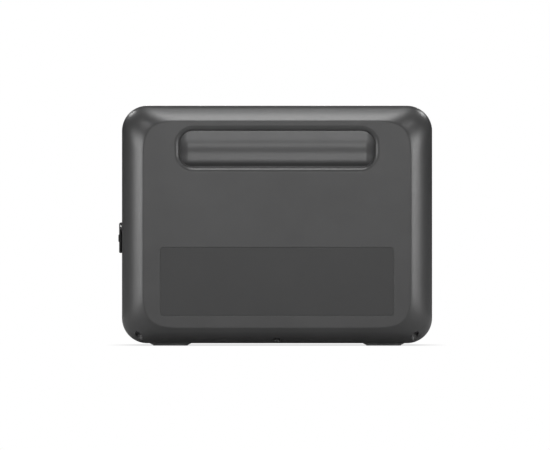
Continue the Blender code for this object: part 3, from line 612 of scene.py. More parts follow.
# ---- Shells ----
def band_offsets(sweep):
    """How far a ring of the band lies inside the outline (0 to 1) and how far out towards the panel."""
    angle = BAND_SWEEP * sweep
    inward = (1 - math.cos(angle)) / (1 - math.cos(BAND_SWEEP))
    return inward, math.sin(angle) / math.sin(BAND_SWEEP)


def skin_ring(side, top, inward, y, inset=0.0):
    """One ring of the skin, side and top metres inside the outline."""
    outline = rounded(
        HALF_W - inset - side,
        HALF_H - inset - top,
        CASE_CORNER - inset + (PANEL_CORNER - CASE_CORNER) * inward,
        24,
        2 + (PANEL_POWER - 2) * inward,
    )
    return [(u, y, v + MID_Z) for u, v in outline]


def skin(name, facing, edge_y, inset=0.0):
    """A half of the case from its open edge to its panel. An inset gives the hollow inside it."""
    rings = []
    if inset:
        rings.append(skin_ring(0, 0, 0, edge_y, inset))
    else:
        for shrink, advance in ((0.0006, 0.0), (0.0002, 0.0002), (0.0, 0.0006)):
            rings.append(skin_ring(0, 0, 0, edge_y + facing * advance, shrink))
    sweeps = 28
    face = HALF_D - inset
    for i in range(sweeps):
        inward, along = band_offsets(i / sweeps)
        y = face - BAND_DEPTH * (1 - along)
        rings.append(skin_ring(BAND_SIDE * inward, BAND_TOP * inward, inward, facing * y, inset))
    if inset:
        rings.append(skin_ring(BAND_SIDE, BAND_TOP, 1, facing * face, inset))
    else:
        inward, along = band_offsets(1 - CREASE / BAND_TOP)
        low = face - BAND_DEPTH * (1 - along)
        for i in range(7):
            t = i / 6
            near, mid, far = (1 - t) ** 2, 2 * t * (1 - t), t * t
            side = near * BAND_SIDE * inward + mid * BAND_SIDE + far * (BAND_SIDE + CREASE)
            top = near * BAND_TOP * inward + mid * BAND_TOP + far * (BAND_TOP + CREASE)
            y = near * low + (mid + far) * face
            rings.append(skin_ring(side, top, near * inward + mid + far, facing * y))
    return loft(name, rings, CASE)


def lap(name, inset, low, high):
    """The outline filled in, for the overlap that closes the seam between the shells."""
    return loft(name, [skin_ring(0, 0, 0, y, inset) for y in (low, high)], CASE)


def side_cutter(name, half, corner, side, y, z):
    """An opening through a side wall, a clearance larger than the piece that sits in it."""
    reach = [side * (HALF_W - 2 * WALL), side * (HALF_W + WALL)]
    return stack(
        name, [(half[0] + GAP, half[1] + GAP, corner + GAP, x) for x in reach], "X", CASE, (0, y, z)
    )


def shell(name, facing, end):
    """A half of the case, hollow, with its grip opening, screw bosses, foot seats and other openings."""
    edge = REAR_LOW.y if facing > 0 else FRONT_HIGH.y
    body = skin(name, facing, edge)
    if facing < 0:
        combine(body, [lap("tongue", LAP_FACE + GAP, edge - LAP, edge + LAP)], "UNION")
    hollow = skin(f"{name}_hollow", facing, edge - facing * 2 * LAP, WALL)
    rim = stack(
        "rim",
        [(GRIP_HALF[0] + LIP + 0.004, GRIP_HALF[1] + LIP + 0.002, GRIP_CORNER + LIP, facing * y)
         for y in (CUP_HIGH.y + GAP, HALF_D + WALL)],
        "Y", CASE, (0, 0, GRIP_Z),
    )
    screws = [middle(f"case_screw_{end}_{side}") for side in ("left", "middle", "right")]
    radius, top = SCREW_BOSS
    bosses = [
        turned("boss", [(radius, -0.005), (radius, top)], "Z", CASE, (spot.x, spot.y, 0)) for spot in screws
    ]
    combine(hollow, [rim, *bosses])
    mouth = [
        (GRIP_HALF[0] + outset, GRIP_HALF[1] + outset, GRIP_CORNER + outset, facing * (HALF_D - depth))
        for outset, depth in flare(LIP, 14)
    ]
    mouth.append((GRIP_HALF[0], GRIP_HALF[1], GRIP_CORNER, facing * (HALF_D - 0.02)))
    cutters = [hollow, stack("lip", mouth, "Y", CASE, (0, 0, GRIP_Z), steps=16)]
    for spot in screws:
        cutters.append(turned(
            "bore",
            [(SCREW_BORE, -0.005), (SCREW_BORE, SCREW_SEAT_Z),
             (SCREW_HOLE, SCREW_SEAT_Z), (SCREW_HOLE, top + 0.004)],
            "Z", CASE, (spot.x, spot.y, 0),
        ))
    for side in ("left", "right"):
        spot = middle(f"foot_{end}_{side}")
        cutters.append(stack(
            "seat",
            [(FOOT_SEAT[0] + GAP, FOOT_SEAT[1] + GAP, 0.004, z)
             for z in (BASE_Z - 0.004, BASE_Z + FOOT_RECESS)],
            "Z", CASE, (spot.x, spot.y, 0),
        ))
    if facing > 0:
        cutters.append(lap("rebate", LAP_FACE, edge - LAP, edge + LAP + GAP))
        half, spot = spans("rating_label")
        cutters.append(stack(
            "label_recess",
            pocket_layers(half.x + GAP, half.z + GAP, 0.0038, HALF_D, HALF_D - 0.0007, GAP),
            "Y", CASE, (0, 0, spot.z),
        ))
        for side, tag in ((-1, "left"), (1, "right")):
            spot = middle(f"vent_grille_{tag}")
            cutters.append(side_cutter(f"{tag}_vent", VENT_HALF, VENT_CORNER, side, spot.y, spot.z))
        cutters.append(side_cutter("inputs", INPUT_HALF, INPUT_CORNER, 1, PIN.y, middle("ac_inlet").z))
    else:
        half_u, half_v, spot = fascia_halves()
        cutters.append(stack(
            "fascia_opening",
            pocket_layers(half_u + GAP, half_v + GAP, FASCIA_CORNER + GAP,
                          -HALF_D, -HALF_D + 2 * WALL, 0.0006),
            "Y", CASE, (0, 0, spot),
        ))
    combine(body, cutters)
    return join("case", "case_plastic", body, f"{end}_shell")


def fascia_halves():
    """The fascia's half sizes and the height of its middle."""
    return FASCIA_HIGH.x, (FASCIA_HIGH.z - FASCIA_LOW.z) / 2, (FASCIA_HIGH.z + FASCIA_LOW.z) / 2


# ---- Grip cups ----
def cup_tilt(z):
    """The lean of the cup's back wall at a height, in radians, eased between the listed heights."""
    for (high, above), (low, below) in zip(CUP_TILTS, CUP_TILTS[1:]):
        if z >= low:
            share = (z - low) / (high - low)
            return math.radians(below + (above - below) * share**2 * (3 - 2 * share))
    return math.radians(CUP_TILTS[-1][1])


def cup_wall_y(z):
    """Where the cup's back wall is at a height, summed from its leans."""
    steps = 40
    rise = (z - BULGE_Z) / steps
    return BULGE_Y - sum(math.tan(cup_tilt(BULGE_Z + rise * (i + 0.5))) for i in range(steps)) * rise


def grip_cup(name, facing, node):
    """A pocket whose back wall bulges towards the hand, rounded where it meets roof, floor and ends."""
    front = CUP_HIGH.y
    roof, floor = CUP_HIGH.z - CUP_WALL, CUP_LOW.z + CUP_WALL
    half, spot = spans("rear_grip_cup")
    shape = stack(
        name, [(half.x, half.z, 0.003, facing * y) for y in (CUP_LOW.y, front)], "Y", CASE, (0, 0, spot.z)
    )
    past_front = front + 0.004
    profile = [(past_front, roof)]
    rows = 44
    for i in range(rows + 1):
        z = roof - 0.0001 - (roof - floor - 0.0002) * i / rows
        lift = 0.0
        for edge, radius in ((roof, 0.006), (floor, 0.004)):
            near = abs(z - edge)
            if near < radius:
                lift = max(lift, radius - math.sqrt(radius**2 - (radius - near) ** 2))
        profile.append((cup_wall_y(z) + lift, z))
    profile.append((past_front, floor))
    inner = half.x - CUP_WALL
    stations = [(inner - advance, inset) for inset, advance in fillet(CUP_END, 14)]
    ordered = [(-x, lift) for x, lift in stations] + [(x, lift) for x, lift in reversed(stations)]
    rings = [[(x, facing * min(y + lift, past_front), z) for y, z in profile] for x, lift in ordered]
    combine(shape, [loft(f"{name}_hollow", rings, CASE)])
    return join("case", "case_plastic", shape, node)


def label():
    """The blank film in the label recess."""
    half, spot = spans("rating_label")
    film = stack(
        "blank_label",
        slab_layers(half.x, half.z, 0.0035, spot.y - half.y, HALF_D - 0.0002, 0, 0.0001),
        "Y", FILM, (0, 0, spot.z),
    )
    join("case", "label_film", film, "rating_label")


# ---- Feet and screws ----
def foot(node):
    """A rubber foot: a flared block with grooves across its tread."""
    spot = middle(node)
    layers = [
        (FOOT_TREAD[0] - inset, FOOT_TREAD[1] - inset, 0.003 - inset, advance)
        for inset, advance in fillet(0.0007)
    ]
    layers += [
        (*FOOT_SEAT, 0.004, BASE_Z - 0.0001),
        (*FOOT_SEAT, 0.004, BASE_Z + FOOT_RECESS - GAP),
    ]
    pad = stack(node.replace("foot", "pad"), layers, "Z", FOOT_RUBBER, (spot.x, spot.y, 0))
    grooves = [
        stack("groove", slab_layers(0.0009, 0.0070, 0.0008, -0.002, 0.0006), "Z", FOOT_RUBBER,
              (spot.x + i * FOOT_GROOVE_PITCH, spot.y, 0), 3)
        for i in range(-2, 3)
    ]
    combine(pad, grooves)
    join("case", "soft_rubber", pad, node)


def screw(node):
    """A pan-head screw, driven up from below, with a cross recess."""
    low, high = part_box(node)
    centre = (middle(node).x, middle(node).y, 0)
    head, shank, root, pitch = 0.0034, 0.0019, 0.0016, 0.0007
    seat = SCREW_SEAT_Z - GAP
    profile = [
        (0.0014, low.z), (0.0024, low.z + 0.0001), (0.0030, low.z + 0.0005), (head - 0.0001, low.z + 0.0011),
        (head, low.z + 0.0015), (head, seat - 0.0002), (head - 0.0002, seat), (shank, seat),
    ]
    for i in range(int((high.z - 0.001 - seat) / pitch)):
        z = seat + 0.0004 + pitch * i
        profile += [(shank, z), (root, z + pitch / 2)]
    profile += [(root, high.z - 0.0004), (shank - 0.0009, high.z)]
    piece = turned(node.replace("case_screw", "screw"), profile, "Z", BLACK_STEEL, centre, 28)
    reach = (low.z - 0.001, low.z + 0.0014)
    arms = [
        stack("arm", [(u, v, 0.0002, z) for z in reach], "Z", BLACK_STEEL, centre, 2)
        for u, v in ((0.0019, 0.00045), (0.00045, 0.0019))
    ]
    combine(piece, arms)
    join("case", "plated_steel", piece, node)


# ---- Vents and fans ----
def grille(node, side):
    """A vent plate with rounded slots."""
    spot = middle(node)
    plate = stack(
        node.replace("vent_", ""),
        slab_layers(*VENT_HALF, VENT_CORNER, side * (HALF_W - WALL), side * (HALF_W - 0.0001), 0.0, 0.0004),
        "X", FASCIA, (0, spot.y, spot.z),
    )
    slots = []
    for i in range(VENT_SLOTS):
        z = spot.z + (i - (VENT_SLOTS - 1) / 2) * VENT_PITCH
        mouth, end = side * (HALF_W - 0.0001), side * (HALF_W - 2 * WALL)
        layers = pocket_layers(*VENT_SLOT, VENT_SLOT[1] * 0.95, mouth, end, 0.0006)
        slots.append(stack("slot", layers, "X", FASCIA, (0, spot.y, z), 6))
    combine(plate, slots)
    join("case", "fascia_plastic", plate, node)


def blade_ring(side, share):
    """A fan blade's section, from the hub (share 0) to its tip (share 1)."""
    root, tip = FAN_HUB - 0.0012, FAN_BORE - 0.0016
    radius = root + (tip - root) * share
    chord = 0.0060 + 0.0008 * share
    pitch = math.radians(52 - 22 * share)
    lead = 0.32 * share**1.4
    ring = []
    for u, v in ((-1, 0), (-0.4, 0.5), (0.3, 0.5), (1, 0), (0.3, -0.5), (-0.4, -0.5)):
        along = u * chord
        thick = v * 0.0010 + 0.0009 * (1 - u * u)
        x = along * math.sin(pitch) * 0.86 - thick * math.cos(pitch)
        tangent = along * math.cos(pitch) + thick * math.sin(pitch)
        angle = lead + tangent / radius
        ring.append((side * (x + 0.0004), radius * math.sin(angle), radius * math.cos(angle)))
    return ring


def fan(label_of, side):
    """A fan frame with three struts to its motor seat, and a rotor with twisted blades."""
    size, centre = spans(f"fan_frame_{label_of}")
    half, reach = size.x, size.z
    body = stack(
        f"fan_housing_{label_of}",
        slab_layers(reach, reach, 0.004, -half, half, 0.0005, 0.0005), "X", FAN, centre,
    )
    cutters = [turned("bore", [(FAN_BORE, -2 * half), (FAN_BORE, 2 * half)], "X", FAN, centre, 72)]
    for dy in (-1, 1):
        for dz in (-1, 1):
            spot = (centre.x, centre.y + dy * (reach - 0.0050), centre.z + dz * (reach - 0.0050))
            hole = [(0.0016, -2 * half), (0.0016, 2 * half)]
            cutters.append(turned("screw_hole", hole, "X", FAN, spot, 20))
    combine(body, cutters)
    inner = -side * half
    seat = turned(
        "seat",
        [(FAN_HUB, inner), (FAN_HUB, inner + side * 0.0015), (FAN_HUB - 0.0005, inner + side * 0.0020)],
        "X", FAN, centre, 48,
    )
    struts = []
    along = (FAN_BORE + 0.0015) / 2
    for i in range(3):
        strut = stack(
            "strut", slab_layers(0.0014, along, 0.0003, -0.0008, 0.0008),
            "X", FAN, (centre.x + inner + side * 0.00105, centre.y, centre.z + along), 2,
        )
        struts.append(turn(strut, math.tau * (i + 0.25) / 3, "X", centre))
    combine(body, [seat, *struts], "UNION")
    join("case", "fan_plastic", body, f"fan_frame_{label_of}")

    hub = turned(
        f"rotor_{label_of}",
        [
            (FAN_HUB - 0.0003, inner + side * 0.0026),
            (FAN_HUB, inner + side * 0.0029),
            (FAN_HUB, -inner - side * 0.0014),
            (FAN_HUB - 0.0004, -inner - side * 0.0007),
            (FAN_HUB - 0.0012, -inner - side * 0.0004),
            (0.0060, -inner - side * 0.0004),
            (0.0055, -inner - side * 0.0007),
        ],
        "X", FAN, centre, 48,
    )
    rings = [blade_ring(side, k / 8) for k in range(9)]
    combine(hub, [
        turn(loft("blade", rings, FAN, centre), math.tau * i / FAN_BLADES, "X", centre)
        for i in range(FAN_BLADES)
    ], "UNION")
    join(f"fan_rotor_{label_of}", "fan_plastic", hub, f"fan_rotor_{label_of}")


# ---- Charging inputs on the right side ----
def bezel():
    """The plate round the inlets, with the ears that hold the flap's pin."""
    plate = stack(
        "inputs_plate",
        slab_layers(*INPUT_HALF, INPUT_CORNER, HALF_W - WALL, HALF_W - 0.0001, 0.0, 0.0004),
        "X", FASCIA, (0, PIN.y, middle("ac_inlet").z),
    )
    reach = spans("input_door")[0].y
    face = PIN.x + KNUCKLE
    ears = []
    for sign in (-1, 1):
        near = PIN.y + sign * (reach + GAP)
        rings = []
        for shrink, advance in ((0.0003, 0.0), (0.0, 0.0003), (0.0, 0.0037), (0.0003, 0.0040)):
            ear_round = face - shrink
            outline = [
                (HALF_W - 0.001, PIN.z - 0.0045 + shrink),
                (ear_round - 0.0012, PIN.z - 0.0040 + shrink),
                (ear_round - 0.0003, PIN.z - 0.0034 + shrink),
                (ear_round, PIN.z - 0.0026 + shrink),
                (ear_round, PIN.z + 0.0020 - shrink),
                (ear_round - 0.0003, PIN.z + 0.0030 - shrink),
                (ear_round - 0.0012, PIN.z + 0.0036 - shrink),
                (HALF_W - 0.001, PIN.z + 0.0040 - shrink),
            ]
            rings.append([(x, near + sign * advance, z) for x, z in outline])
        ears.append(loft("ear", rings, FASCIA))
    combine(plate, ears, "UNION")
    trough = stack(
        "trough",
        [(reach + GAP, 0.0033, 0.0006, x) for x in (HALF_W - 0.0020, HALF_W + 0.0040)],
        "X", FASCIA, (0, PIN.y, PIN.z - 0.0007), 3,
    )
    cutters = [trough, turned("pin_bore", [(PIN_BORE, -0.05), (PIN_BORE, 0.05)], "Y", FASCIA, PIN, 24)]
    face, end = HALF_W - 0.0001, HALF_W - 2 * WALL
    for node in ("ac_inlet", "solar_inlet"):
        half, spot = spans(node)
        cutters.append(stack(
            "inlet_hole", pocket_layers(half.y + GAP, half.z + GAP, 0.002, face, end, 0.0003),
            "X", FASCIA, (0, spot.y, spot.z), 4,
        ))
    spot = middle("reset_button")
    cutters.append(turned(
        "reset_hole", bore_profile(0.0043, face, end, 0.0003), "X", FASCIA, (0, spot.y, spot.z), 32
    ))
    combine(plate, cutters)
    join("case", "fascia_plastic", plate, "input_bezel")


def door():
    """The rubber flap: a rounded leaf, its knuckle, and a raised pull rib."""
    low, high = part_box("input_door")
    reach = (high.y - low.y) / 2
    face, back = PIN.x + KNUCKLE, PIN.x - 0.0006
    top = PIN.z - 0.0002
    leaf = stack(
        "flap",
        slab_layers(reach - 0.00005, (top - low.z) / 2, 0.0026, back, face, 0.0006, 0.0011),
        "X", RUBBER, (0, PIN.y, (top + low.z) / 2),
    )
    end = reach - 0.00005
    knuckle = turned("knuckle", rod_profile(KNUCKLE, -end, end, 0.0003, 0.0003), "Y", RUBBER, PIN, 40)
    pull_z = middle("ac_inlet").z - 0.0004
    pull = stack(
        "pull",
        slab_layers(0.0120, 0.0038, 0.0020, face - 0.0012, high.x, 0.0, 0.0009),
        "X", RUBBER, (0, PIN.y, pull_z),
    )
    combine(leaf, [knuckle, pull], "UNION")
    combine(leaf, [turned("bore", [(PIN_BORE, -0.05), (PIN_BORE, 0.05)], "Y", RUBBER, PIN, 24)])
    join("input_door", "soft_rubber", leaf, "input_door")
    low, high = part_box("hinge_pin")
    profile = rod_profile(PIN_RADIUS, low.y - PIN.y, high.y - PIN.y, 0.0002, 0.0002)
    pin = turned("pin", profile, "Y", PIN_STEEL, PIN, 24)
    join("case", "plated_steel", pin, "hinge_pin")


def inlet(node, name, rim, corner, depth, mouth_round):
    """An inlet's body with its cavity; gives its middle and its face."""
    half, spot = spans(node)
    face = spot.x + half.x
    body = stack(
        name, slab_layers(half.y, half.z, 0.002, spot.x - half.x, face, 0.0003, 0.0003),
        "X", SOCKET, (0, spot.y, spot.z), 6,
    )
    cavity = stack(
        "cavity", pocket_layers(half.y - rim, half.z - rim, corner, face, face - depth, mouth_round),
        "X", SOCKET, (0, spot.y, spot.z), 6,
    )
    combine(body, [cavity])
    join("case", "socket_plastic", body, node)
    return spot, face


def inlets():
    """The mains inlet with three blades, and the solar inlet with two round contacts."""
    spot, face = inlet("ac_inlet", "appliance_inlet", 0.0015, 0.003, 0.016, 0.0004)
    for i, (dy, dz) in enumerate(((-0.007, -0.002), (0.0, 0.003), (0.007, -0.002))):
        blade = stack(
            f"inlet_blade_{i}",
            slab_layers(0.0010, 0.0022, 0.0004, face - 0.0160, face - 0.0030, 0.0, 0.0004),
            "X", STEEL, (0, spot.y + dy, spot.z + dz), 3,
        )
        join("case", "plated_steel", blade)
    spot, face = inlet("solar_inlet", "solar_connector", 0.0010, 0.0015, 0.012, 0.0003)
    for i, dy in enumerate((-0.0046, 0.0046)):
        contact = turned(
            f"solar_pin_{i}", rod_profile(0.0018, face - 0.012, face - 0.002, 0.0, 0.0006),
            "X", COPPER, (0, spot.y + dy, spot.z), 24,
        )
        join("case", "copper", contact)


def reset():
    """The overload reset: a small key with a dished end."""
    half, spot = spans("reset_button")
    radius, face = half.z, spot.x + half.x
    profile = rod_profile(radius, spot.x - half.x, face, 0.0002, 0.0005)
    profile += [(radius - 0.0012, face), (radius - 0.0016, face - 0.0003)]
    button = turned("reset_key", profile, "X", KEY, (0, spot.y, spot.z))
    join("reset_button", "key_plastic", button, "reset_button")


# ---- Front ----
def fascia_opening(node, corner, steps=6):
    """A cutter through the fascia, a clearance larger than the CAD node's box."""
    half, spot = spans(node)
    return stack(
        "opening", pocket_layers(half.x + GAP, half.z + GAP, corner, FASCIA_Y, FASCIA_HOLE_END, 0.0003),
        "Y", FASCIA, (spot.x, 0, spot.z), steps,
    )


def fascia():
    """The front plate with its openings, and the anchor of the cap's strap."""
    half_u, half_v, mid = fascia_halves()
    plate = stack(
        "front_plate", slab_layers(half_u, half_v, FASCIA_CORNER, FASCIA_HIGH.y, FASCIA_Y, 0.0, 0.0005),
        "Y", FASCIA, (0, 0, mid), 12,
    )
    anchor_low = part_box("car_socket_cap")[1].z + 0.0018
    anchor = stack(
        "anchor", slab_layers(0.0070, 0.0015, 0.0010, FASCIA_Y + 0.001, FASCIA_LOW.y, 0.0, 0.0005),
        "Y", FASCIA, (middle("car_socket").x, 0, (anchor_low + ANCHOR_TOP) / 2), 4,
    )
    combine(plate, [anchor], "UNION")
    cutters = [fascia_opening("display_window", 0.003)]
    cutters += [fascia_opening(node, 0.004) for node in OUTLETS]
    cutters += [fascia_opening(node, 0.0012) for node in ("usb_a_upper", "usb_a_lower")]
    cutters += [fascia_opening(node, 0.0026) for node in ("usb_c_upper", "usb_c_lower")]
    holes = {"car_socket": SLEEVE + GAP, "power_button": 0.0083, "dc_button": 0.0068, "ac_button": 0.0068}
    for node, radius in holes.items():
        profile = bore_profile(radius, FASCIA_Y, FASCIA_HOLE_END, 0.0003)
        cutters.append(turned("opening", profile, "Y", FASCIA, (middle(node).x, 0, middle(node).z)))
    combine(plate, cutters)
    join("case", "fascia_plastic", plate, "front_fascia")


def display():
    """The smoked window, and behind it a board with its screen."""
    half, spot = spans("display_window")
    window = stack(
        "window", slab_layers(half.x, half.z, 0.003, spot.y + half.y, spot.y - half.y, 0.0, 0.0003),
        "Y", WINDOW, (spot.x, 0, spot.z), 10,
    )
    join("case", "window_glass", window, "display_window")
    half, spot = spans("display_module")
    centre, front = (spot.x, 0, spot.z), spot.y - half.y
    layers = slab_layers(half.x, half.z, 0.001, spot.y + half.y, front + 0.0022)
    join("case", "circuit_board", stack("display_board", layers, "Y", BOARD, centre, 3), "display_module")
    layers = slab_layers(half.x - 0.0015, half.z - 0.0015, 0.0008, front + 0.0021, front, 0.0, 0.0003)
    join("case", "window_glass", stack("display_screen", layers, "Y", LCD, centre, 3))


def push_button(node, radius):
    """A round key with a dished face and a small lamp in it."""
    low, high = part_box(node)
    spot = middle(node)
    profile = rod_profile(radius, high.y, low.y, 0.0002, 0.0005)
    for share in (0.80, 0.6, 0.4, 0.2):
        profile.append((radius * share, low.y + KEY_DISH * (1 - share**2)))
    key = turned(node.replace("button", "key"), profile, "Y", KEY, (spot.x, 0, spot.z), 64)
    lamp_at = (spot.x, 0, spot.z + radius * 0.62)
    hole = [(0.0011, low.y - 0.002), (0.0011, low.y + 0.0012)]
    combine(key, [turned("lamp_hole", hole, "Y", KEY, lamp_at, 20)])
    join(node, "key_plastic", key, node)
    profile = rod_profile(0.0010, low.y + 0.0011, low.y + 0.0001, 0.0, 0.0002)
    join(node, "key_plastic", turned(node.replace("button", "lamp"), profile, "Y", LAMP, lamp_at, 20))


def outlet(node):
    """A flush three-pin outlet with a dished face, two blade slots and a round earth hole."""
    half, spot = spans(node)
    face = spot.y - half.y
    body = stack(
        node.replace("ac_outlet", "outlet"),
        slab_layers(half.x, half.z, 0.004, spot.y + half.y, face, 0.0003, 0.0006),
        "Y", SOCKET, (spot.x, 0, spot.z), 10,
    )
    cutters = [stack(
        "dish", pocket_layers(half.x - 0.0032, half.z - 0.0028, 0.0085, face, face + 0.0008, 0.0004),
        "Y", SOCKET, (spot.x, 0, spot.z), 12,
    )]
    for u, v, corner, dx, dz, steps in (
        (0.0010, 0.0042, 0.0002, -BLADE_X, 0.0040, 2),
        (0.0010, 0.0034, 0.0002, BLADE_X, 0.0040, 2),
        (0.0026, 0.0026, 0.0024, 0.0, -0.0079, 10),
    ):
        layers = [(u, v, corner, face - 0.002), (u, v, corner, face + 0.010)]
        cutters.append(stack("slot", layers, "Y", SOCKET, (spot.x + dx, 0, spot.z + dz), steps))
    combine(body, cutters)
    join("case", "socket_plastic", body, node)


def usb_port(node, cavity, tongue, corner, pads):
    """A metal mouth with a rolled edge, and a tongue with gold pads."""
    half, spot = spans(node)
    centre = (spot.x, 0, spot.z)
    back, face = spot.y + half.y, spot.y - half.y
    floor = back - 0.0015
    layers = slab_layers(half.x, half.z, corner, back, face, 0.0, 0.0002)
    body = stack(node.replace("usb", "port"), layers, "Y", STEEL, centre, 8)
    layers = pocket_layers(*cavity, min(corner, cavity[1] * 0.95), face, floor, 0.0002)
    combine(body, [stack("hollow", layers, "Y", STEEL, centre, 8)])
    join("case", "plated_steel", body, node)
    layers = slab_layers(*tongue, min(0.0006, tongue[1] * 0.6), floor, face + 0.0012, 0.0, 0.0002)
    join("case", "socket_plastic", stack(node.replace("usb", "tongue"), layers, "Y", PORT, centre, 3))
    for i in range(pads):
        x = spot.x + tongue[0] * 0.72 * (2 * i / (pads - 1) - 1)
        layers = slab_layers(tongue[0] * 0.14, PAD_HALF, 0.00005, floor, face + 0.0018)
        where = (x, 0, spot.z - tongue[1] - PAD_HALF)
        join("case", "copper", stack(f"{node.replace('usb', 'pad')}_{i}", layers, "Y", GOLD, where, 1))


def car_socket():
    """The 12 V socket: a sleeve with a flange and a catch groove, and a contact at its end."""
    low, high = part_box("car_socket")
    spot = middle("car_socket")
    flange, front = (high.x - low.x) / 2, low.y
    profile = [
        (SLEEVE - 0.0002, high.y), (SLEEVE, high.y - 0.0003), (SLEEVE, FASCIA_Y - GAP),
        (flange, FASCIA_Y - GAP), (flange, front + 0.0004), (flange - 0.0001, front + 0.0001),
        (flange - 0.0004, front), (0.0116, front), (0.0109, front + 0.0003), (0.0107, front + 0.0010),
        (0.0106, front + 0.0030), (0.0106, front + 0.0120), (0.0109, front + 0.0124),
        (0.0109, front + 0.0150), (0.0106, front + 0.0154), (0.0106, high.y - 0.002),
    ]
    sleeve = turned("socket_sleeve", profile, "Y", STEEL, (spot.x, 0, spot.z), 72)
    join("case", "plated_steel", sleeve, "car_socket")
    low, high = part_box("car_socket_contact")
    profile = [
        (0.0035, high.y), (0.0035, high.y - 0.0016), (0.0031, high.y - 0.0019), (0.0026, high.y - 0.0030),
        (0.0022, low.y + 0.0006), (0.0012, low.y),
    ]
    contact = turned("socket_contact", profile, "Y", COPPER, (spot.x, 0, spot.z), 40)
    join("case", "copper", contact, "car_socket_contact")


def car_cap():
    """The rubber cap: a disc with a ringed face, a plug for the sleeve, a tab and a strap to its hinge."""
    low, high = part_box("car_socket_cap")
    spot = middle("car_socket")
    back = FASCIA_Y - 0.0012 - GAP
    face = back - 0.0022
    profile = [
        (0.0084, back + 0.0035), (0.0090, back + 0.0034), (0.0096, back + 0.0028), (0.0096, back + 0.0012),
        (0.0093, back + 0.0006), (0.0093, back), (CAP_FLANGE - 0.0002, back), (CAP_FLANGE, back - 0.0002),
        (CAP_FLANGE, face + 0.0009), (CAP_FLANGE - 0.0004, face + 0.0003), (CAP_FLANGE - 0.0012, face),
        (0.0118, face), (0.0113, face + 0.0004), (0.0108, face),
    ]
    cap = turned("socket_cap", profile, "Y", RUBBER, (spot.x, 0, spot.z), 72)
    tab = stack(
        "tab", slab_layers(0.0040, 0.0028, 0.0016, face + 0.0018, face + 0.0003, 0.0003, 0.0003),
        "Y", RUBBER, (spot.x, 0, low.z + 0.0028), 6,
    )
    strap_low = spot.z + CAP_FLANGE - 0.002
    strap = stack(
        "strap",
        slab_layers(0.0060, (high.z - strap_low) / 2, 0.0008, face + 0.0018, face + 0.0004, 0.0002, 0.0002),
        "Y", RUBBER, (spot.x, 0, (high.z + strap_low) / 2), 4,
    )
    combine(cap, [tab, strap], "UNION")
    join("car_socket_cap", "soft_rubber", cap, "car_socket_cap")


# ---- Inside ----
def flat_block(name, node, corner, edge, finish):
    """A block that fills a CAD node's box, with its upright edges and its rim rounded."""
    half, spot = spans(node)
    return stack(name, slab_layers(half.x, half.y, corner, -half.z, half.z, edge, edge), "Z", finish, spot, 4)


def cell(index):
    """A prismatic cell: a film-wrapped can with two terminals."""
    node = f"battery_cell_{index}"
    half, spot = spans(node)
    join("case", "cell_wrap", flat_block(f"cell_can_{index}", node, 0.002, 0.0012, WRAP), node)
    top = spot.z + half.z
    for way, pole in ((-1, "minus"), (1, "plus")):
        profile = rod_profile(0.0055, top + 0.0001, top + 0.0022, 0.0, 0.0004)
        where = (spot.x, spot.y + way * TERMINAL_Y, 0)
        terminal = turned(f"cell_terminal_{index}_{pole}", profile, "Z", ALUMINIUM, where, 32)
        join("case", "bare_aluminium", terminal)


def board_parts(name, node, spots):
    """Chips, plugs and capacitor cans standing on a board: spots holds (kind, x, y) from its middle."""
    half, base = spans(node)
    top = base.z + half.z
    for i, (kind, x, y) in enumerate(spots):
        where = (base.x + x, base.y + y, 0)
        if kind == "can":
            profile = rod_profile(0.0050, top, top + 0.012, 0.0002, 0.0006)
            join("case", "bare_aluminium", turned(f"{name}_can_{i}", profile, "Z", ALUMINIUM, where, 28))
            continue
        u, v, corner, height, edge, finish = BOARD_PARTS[kind]
        layers = slab_layers(u, v, corner, top, top + height, 0, edge)
        join("case", "socket_plastic", stack(f"{name}_{kind}_{i}", layers, "Z", finish, where, 2))


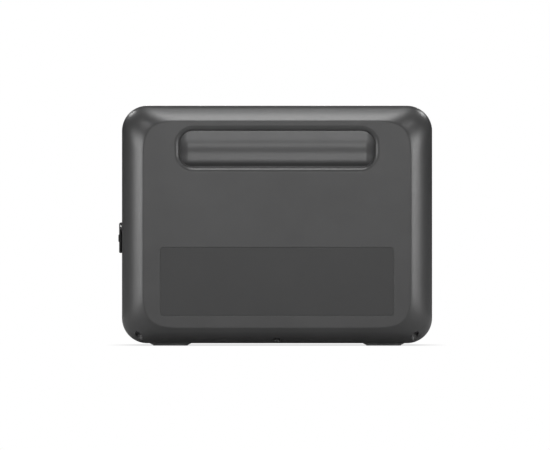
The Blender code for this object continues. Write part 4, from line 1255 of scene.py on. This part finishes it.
def boards():
    """The battery monitor and the inverter's board lie flat; the board behind the outlets stands."""
    node = "battery_management_board"
    join("case", "circuit_board", flat_block("cell_monitor_board", node, 0.002, 0.0001, BOARD), node)
    chips = [("chip", x, y) for x in (-0.070, -0.025, 0.020, 0.065) for y in (-0.014, 0.012)]
    board_parts("monitor", node, chips + [("plug", -0.085, -0.002), ("plug", 0.045, 0.022)])
    node = "inverter_board"
    join("case", "circuit_board", flat_block("power_board", node, 0.002, 0.0001, BOARD), node)
    cans = [("can", x, y) for x in (0.062, 0.076, 0.090) for y in (-0.052, -0.038)]
    chips = [("chip", x, 0.058) for x in (-0.020, 0.0, 0.058, 0.078)]
    board_parts("power", node, cans + chips + [("plug", 0.080, 0.020)])
    half, spot = spans("output_board")
    near = spot.y + half.y
    layers = slab_layers(half.x, half.z, 0.002, spot.y - half.y, near)
    plate = stack("outlet_board", layers, "Y", BOARD, (spot.x, 0, spot.z), 4)
    join("case", "circuit_board", plate, "output_board")
    relays = ((-0.030, 0.030), (-0.004, 0.030), (0.030, 0.034), (0.056, -0.034), (-0.040, -0.030))
    for i, (x, z) in enumerate(relays):
        layers = slab_layers(0.0085, 0.0060, 0.0008, near, near + 0.008, 0, 0.0005)
        where = (spot.x + x, 0, spot.z + z)
        join("case", "socket_plastic", stack(f"outlet_relay_{i}", layers, "Y", CHIP, where, 3))


def transformer():
    """A ferrite core round a copper winding."""
    half, spot = spans("power_transformer")
    centre = (spot.x, spot.y, 0)
    low, high = spot.z - half.z, spot.z + half.z
    layers = slab_layers(half.x - 0.004, half.y, 0.008, low + 0.006, high - 0.006, 0.001, 0.001)
    join("case", "copper", stack("coil", layers, "Z", WIRE, centre, 8), "power_transformer")
    for tag, near, far in (("lower", low, low + 0.0058), ("upper", high - 0.0058, high)):
        layers = slab_layers(half.x, half.y - 0.003, 0.001, near, far, 0.0004, 0.0004)
        join("case", "circuit_board", stack(f"core_{tag}", layers, "Z", CORE, centre, 3))


def dressed(node, finish):
    """A CAD node that is shown as it is, in a finish of its own."""
    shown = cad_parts[node]
    shown.data.materials.clear()
    shown.data.materials.append(finish)


def main():
    """Build every piece, case first."""
    shell("rear_case", 1, "rear")
    shell("front_case", -1, "front")
    cups = [
        grip_cup("rear_grip_pocket", 1, "rear_grip_cup"),
        grip_cup("front_grip_pocket", -1, "front_grip_cup"),
    ]
    label()
    for end in ("rear", "front"):
        for side in ("left", "right"):
            foot(f"foot_{end}_{side}")
        for side in ("left", "middle", "right"):
            screw(f"case_screw_{end}_{side}")
    grille("vent_grille_left", -1)
    grille("vent_grille_right", 1)
    fan("left", -1)
    fan("right", 1)
    bezel()
    door()
    inlets()
    reset()
    fascia()
    display()
    push_button("power_button", 0.0080)
    push_button("dc_button", 0.0065)
    push_button("ac_button", 0.0065)
    for node in OUTLETS:
        outlet(node)
    for row in ("upper", "lower"):
        usb_port(f"usb_a_{row}", (0.0063, 0.0026), (0.0056, 0.0009), 0.0010, 4)
        usb_port(f"usb_c_{row}", (0.0044, 0.0015), (0.0033, 0.00035), 0.0025, 6)
    car_socket()
    car_cap()
    for i in range(8):
        cell(i + 1)
    boards()
    transformer()
    for node in ("battery_tray", "inverter_shelf", "heat_sink"):
        dressed(node, ALUMINIUM)
    stage(cups)


main()
